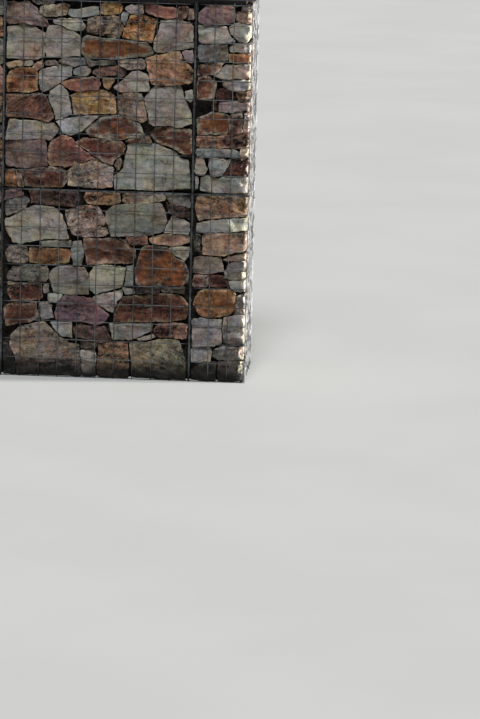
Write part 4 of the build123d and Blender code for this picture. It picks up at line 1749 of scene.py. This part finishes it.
def dress_binders(material):
    """Spirals at the seams between cages, at the corners and between the two courses."""
    low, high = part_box("front_mesh_bay_1_lower")
    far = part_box("back_mesh_end_cage_upper")[1]
    foot, middle, top = low.z, high.z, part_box("stone_fill_bay_1_upper")[1].z
    seams = [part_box(f"stone_fill_{column}_lower")[0].x for column in COLUMNS[1:]]

    def ends(inset):
        """Both ends of the wall, so many wires in."""
        return {"left": low.x + inset * WIRE, "right": far.x - inset * WIRE}

    def sides(inset):
        """Both faces of the wall, so many wires in."""
        return {"front": low.y + inset * WIRE, "back": far.y - inset * WIRE}

    lines = []
    for course, (start, stop) in {"lower": (foot, middle), "upper": (middle, top)}.items():
        start, stop = start + SPIRAL_END_GAP, stop - SPIRAL_END_GAP
        places = [
            (f"{side}_seam_{number + 1}", x, y)
            for side, y in sides(1).items() for number, x in enumerate(seams)
        ]
        places += [
            (f"{side}_{end}_corner", x, y)
            for side, y in sides(CORNER_FACE_INSET).items()
            for end, x in ends(CORNER_END_INSET).items()
        ]
        for place, x, y in places:
            lines.append((f"binder_{place}_{course}", (x, y, start), (x, y, stop), (1, 0, 0)))
    edges = [low.x, *seams, far.x]
    for side, y in sides(1).items():
        for column, start, stop in zip(COLUMNS, edges, edges[1:]):
            start, stop = start + SPIRAL_END_GAP, stop - SPIRAL_END_GAP
            lines.append((f"binder_{side}_middle_{column}", (start, y, middle), (stop, y, middle), UP))
    start, stop = low.y + SPIRAL_END_GAP, far.y - SPIRAL_END_GAP
    for end, x in ends(1).items():
        lines.append((f"binder_{end}_end_middle", (x, start, middle), (x, stop, middle), UP))
    rng = np.random.default_rng(BINDER_SEED)
    pieces = [spiral(*line, material, rng) for line in lines]

    for side, y in sides(LOOP_INSET).items():
        for number, x in enumerate(seams):
            place = (x, y, top - LOOP_HALF_LENGTH)
            pieces.append(loop(f"loop_{side}_seam_{number + 1}", place, (1, 0, 0), UP, material))
        corners = {"left": (low.x + LOOP_HALF_LENGTH, 1), "right": (far.x - LOOP_HALF_LENGTH, -1)}
        for end, (x, inward) in corners.items():
            place = (x, y, middle)
            pieces.append(loop(f"loop_{side}_{end}_corner", place, UP, (inward, 0, 0), material))
    for piece in pieces:
        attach(piece, "root")


def dress_coping():
    """Give the coping and its bed, which keep their modelled shape, their finish."""
    stone, mortar = coping_material(), mortar_material()
    for name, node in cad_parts.items():
        if name.startswith("coping"):
            node.data.materials.clear()
            node.data.materials.append(mortar if name == "coping_bed" else stone)


def add_floor():
    """A wide level floor, which is no part of the wall."""
    mesh = bpy.data.meshes.new("floor")
    near, far = -FLOOR_REACH, FLOOR_REACH
    mesh.from_pydata([(near, near, 0), (far, near, 0), (far, far, 0), (near, far, 0)], [], [(0, 1, 2, 3)])
    mesh.materials.append(floor_material())
    floor = bpy.data.objects.new("floor", mesh)
    bpy.context.scene.collection.objects.link(floor)


def add_sun(name, colour, strength, spread, azimuth, height):
    """A far light that shines from an azimuth and a height, both in degrees."""
    light = bpy.data.lights.new(name, "SUN")
    light.energy = strength
    light.angle = math.radians(spread)
    light.color = colour
    lamp = bpy.data.objects.new(name, light)
    around, above = math.radians(azimuth), math.radians(height)
    level = math.cos(above)
    way = Vector((math.cos(around) * level, math.sin(around) * level, math.sin(above)))
    lamp.rotation_euler = way.to_track_quat("Z", "Y").to_euler()
    bpy.context.scene.collection.objects.link(lamp)


def add_light():
    """Soft daylight, mostly from above, and a low warm key past the right end."""
    scene = bpy.context.scene
    world = bpy.data.worlds.new("studio")
    world.use_nodes = True
    background = world.node_tree.nodes["Background"]
    background.inputs["Color"].default_value = (*SKY_COLOUR, 1.0)
    background.inputs["Strength"].default_value = SKY_STRENGTH
    scene.world = world
    add_sun("above", SKY_COLOUR, ABOVE_STRENGTH, ABOVE_SPREAD, ABOVE_AZIMUTH, ABOVE_HEIGHT)
    add_sun("key", KEY_COLOUR, KEY_STRENGTH, KEY_SPREAD, KEY_AZIMUTH, KEY_HEIGHT)
    scene.view_settings.view_transform = "Standard"


def add_camera():
    """The photograph's own view: a long lens from well in front and above."""
    yaw, pitch, roll = (math.radians(angle) for angle in (CAMERA_YAW, CAMERA_PITCH, CAMERA_ROLL))
    ahead = Vector((-math.sin(yaw) * math.cos(pitch), math.cos(yaw) * math.cos(pitch), -math.sin(pitch)))
    level = Vector((math.cos(yaw), math.sin(yaw), 0))
    upward = level.cross(ahead)
    right = level * math.cos(roll) + upward * math.sin(roll)
    upward = upward * math.cos(roll) - level * math.sin(roll)
    data = bpy.data.cameras.new("camera")
    data.sensor_fit = "VERTICAL"
    data.sensor_height = SENSOR_HEIGHT
    data.lens = FOCAL_PIXELS * SENSOR_HEIGHT / PHOTO_HEIGHT
    data.clip_end = CAMERA_REACH
    turn = Matrix((right, upward, -ahead)).transposed().to_4x4()
    camera = bpy.data.objects.new("camera", data)
    camera.matrix_world = Matrix.Translation(CAMERA_PLACE) @ turn
    bpy.context.scene.collection.objects.link(camera)
    bpy.context.scene.camera = camera


stone_finish = stone_material()
for course_name in COURSES:
    dress_fill(course_name, stone_finish)
wire_finish = wire_material()
dress_mesh(wire_finish)
dress_binders(wire_finish)
dress_coping()
add_floor()
add_light()
add_camera()
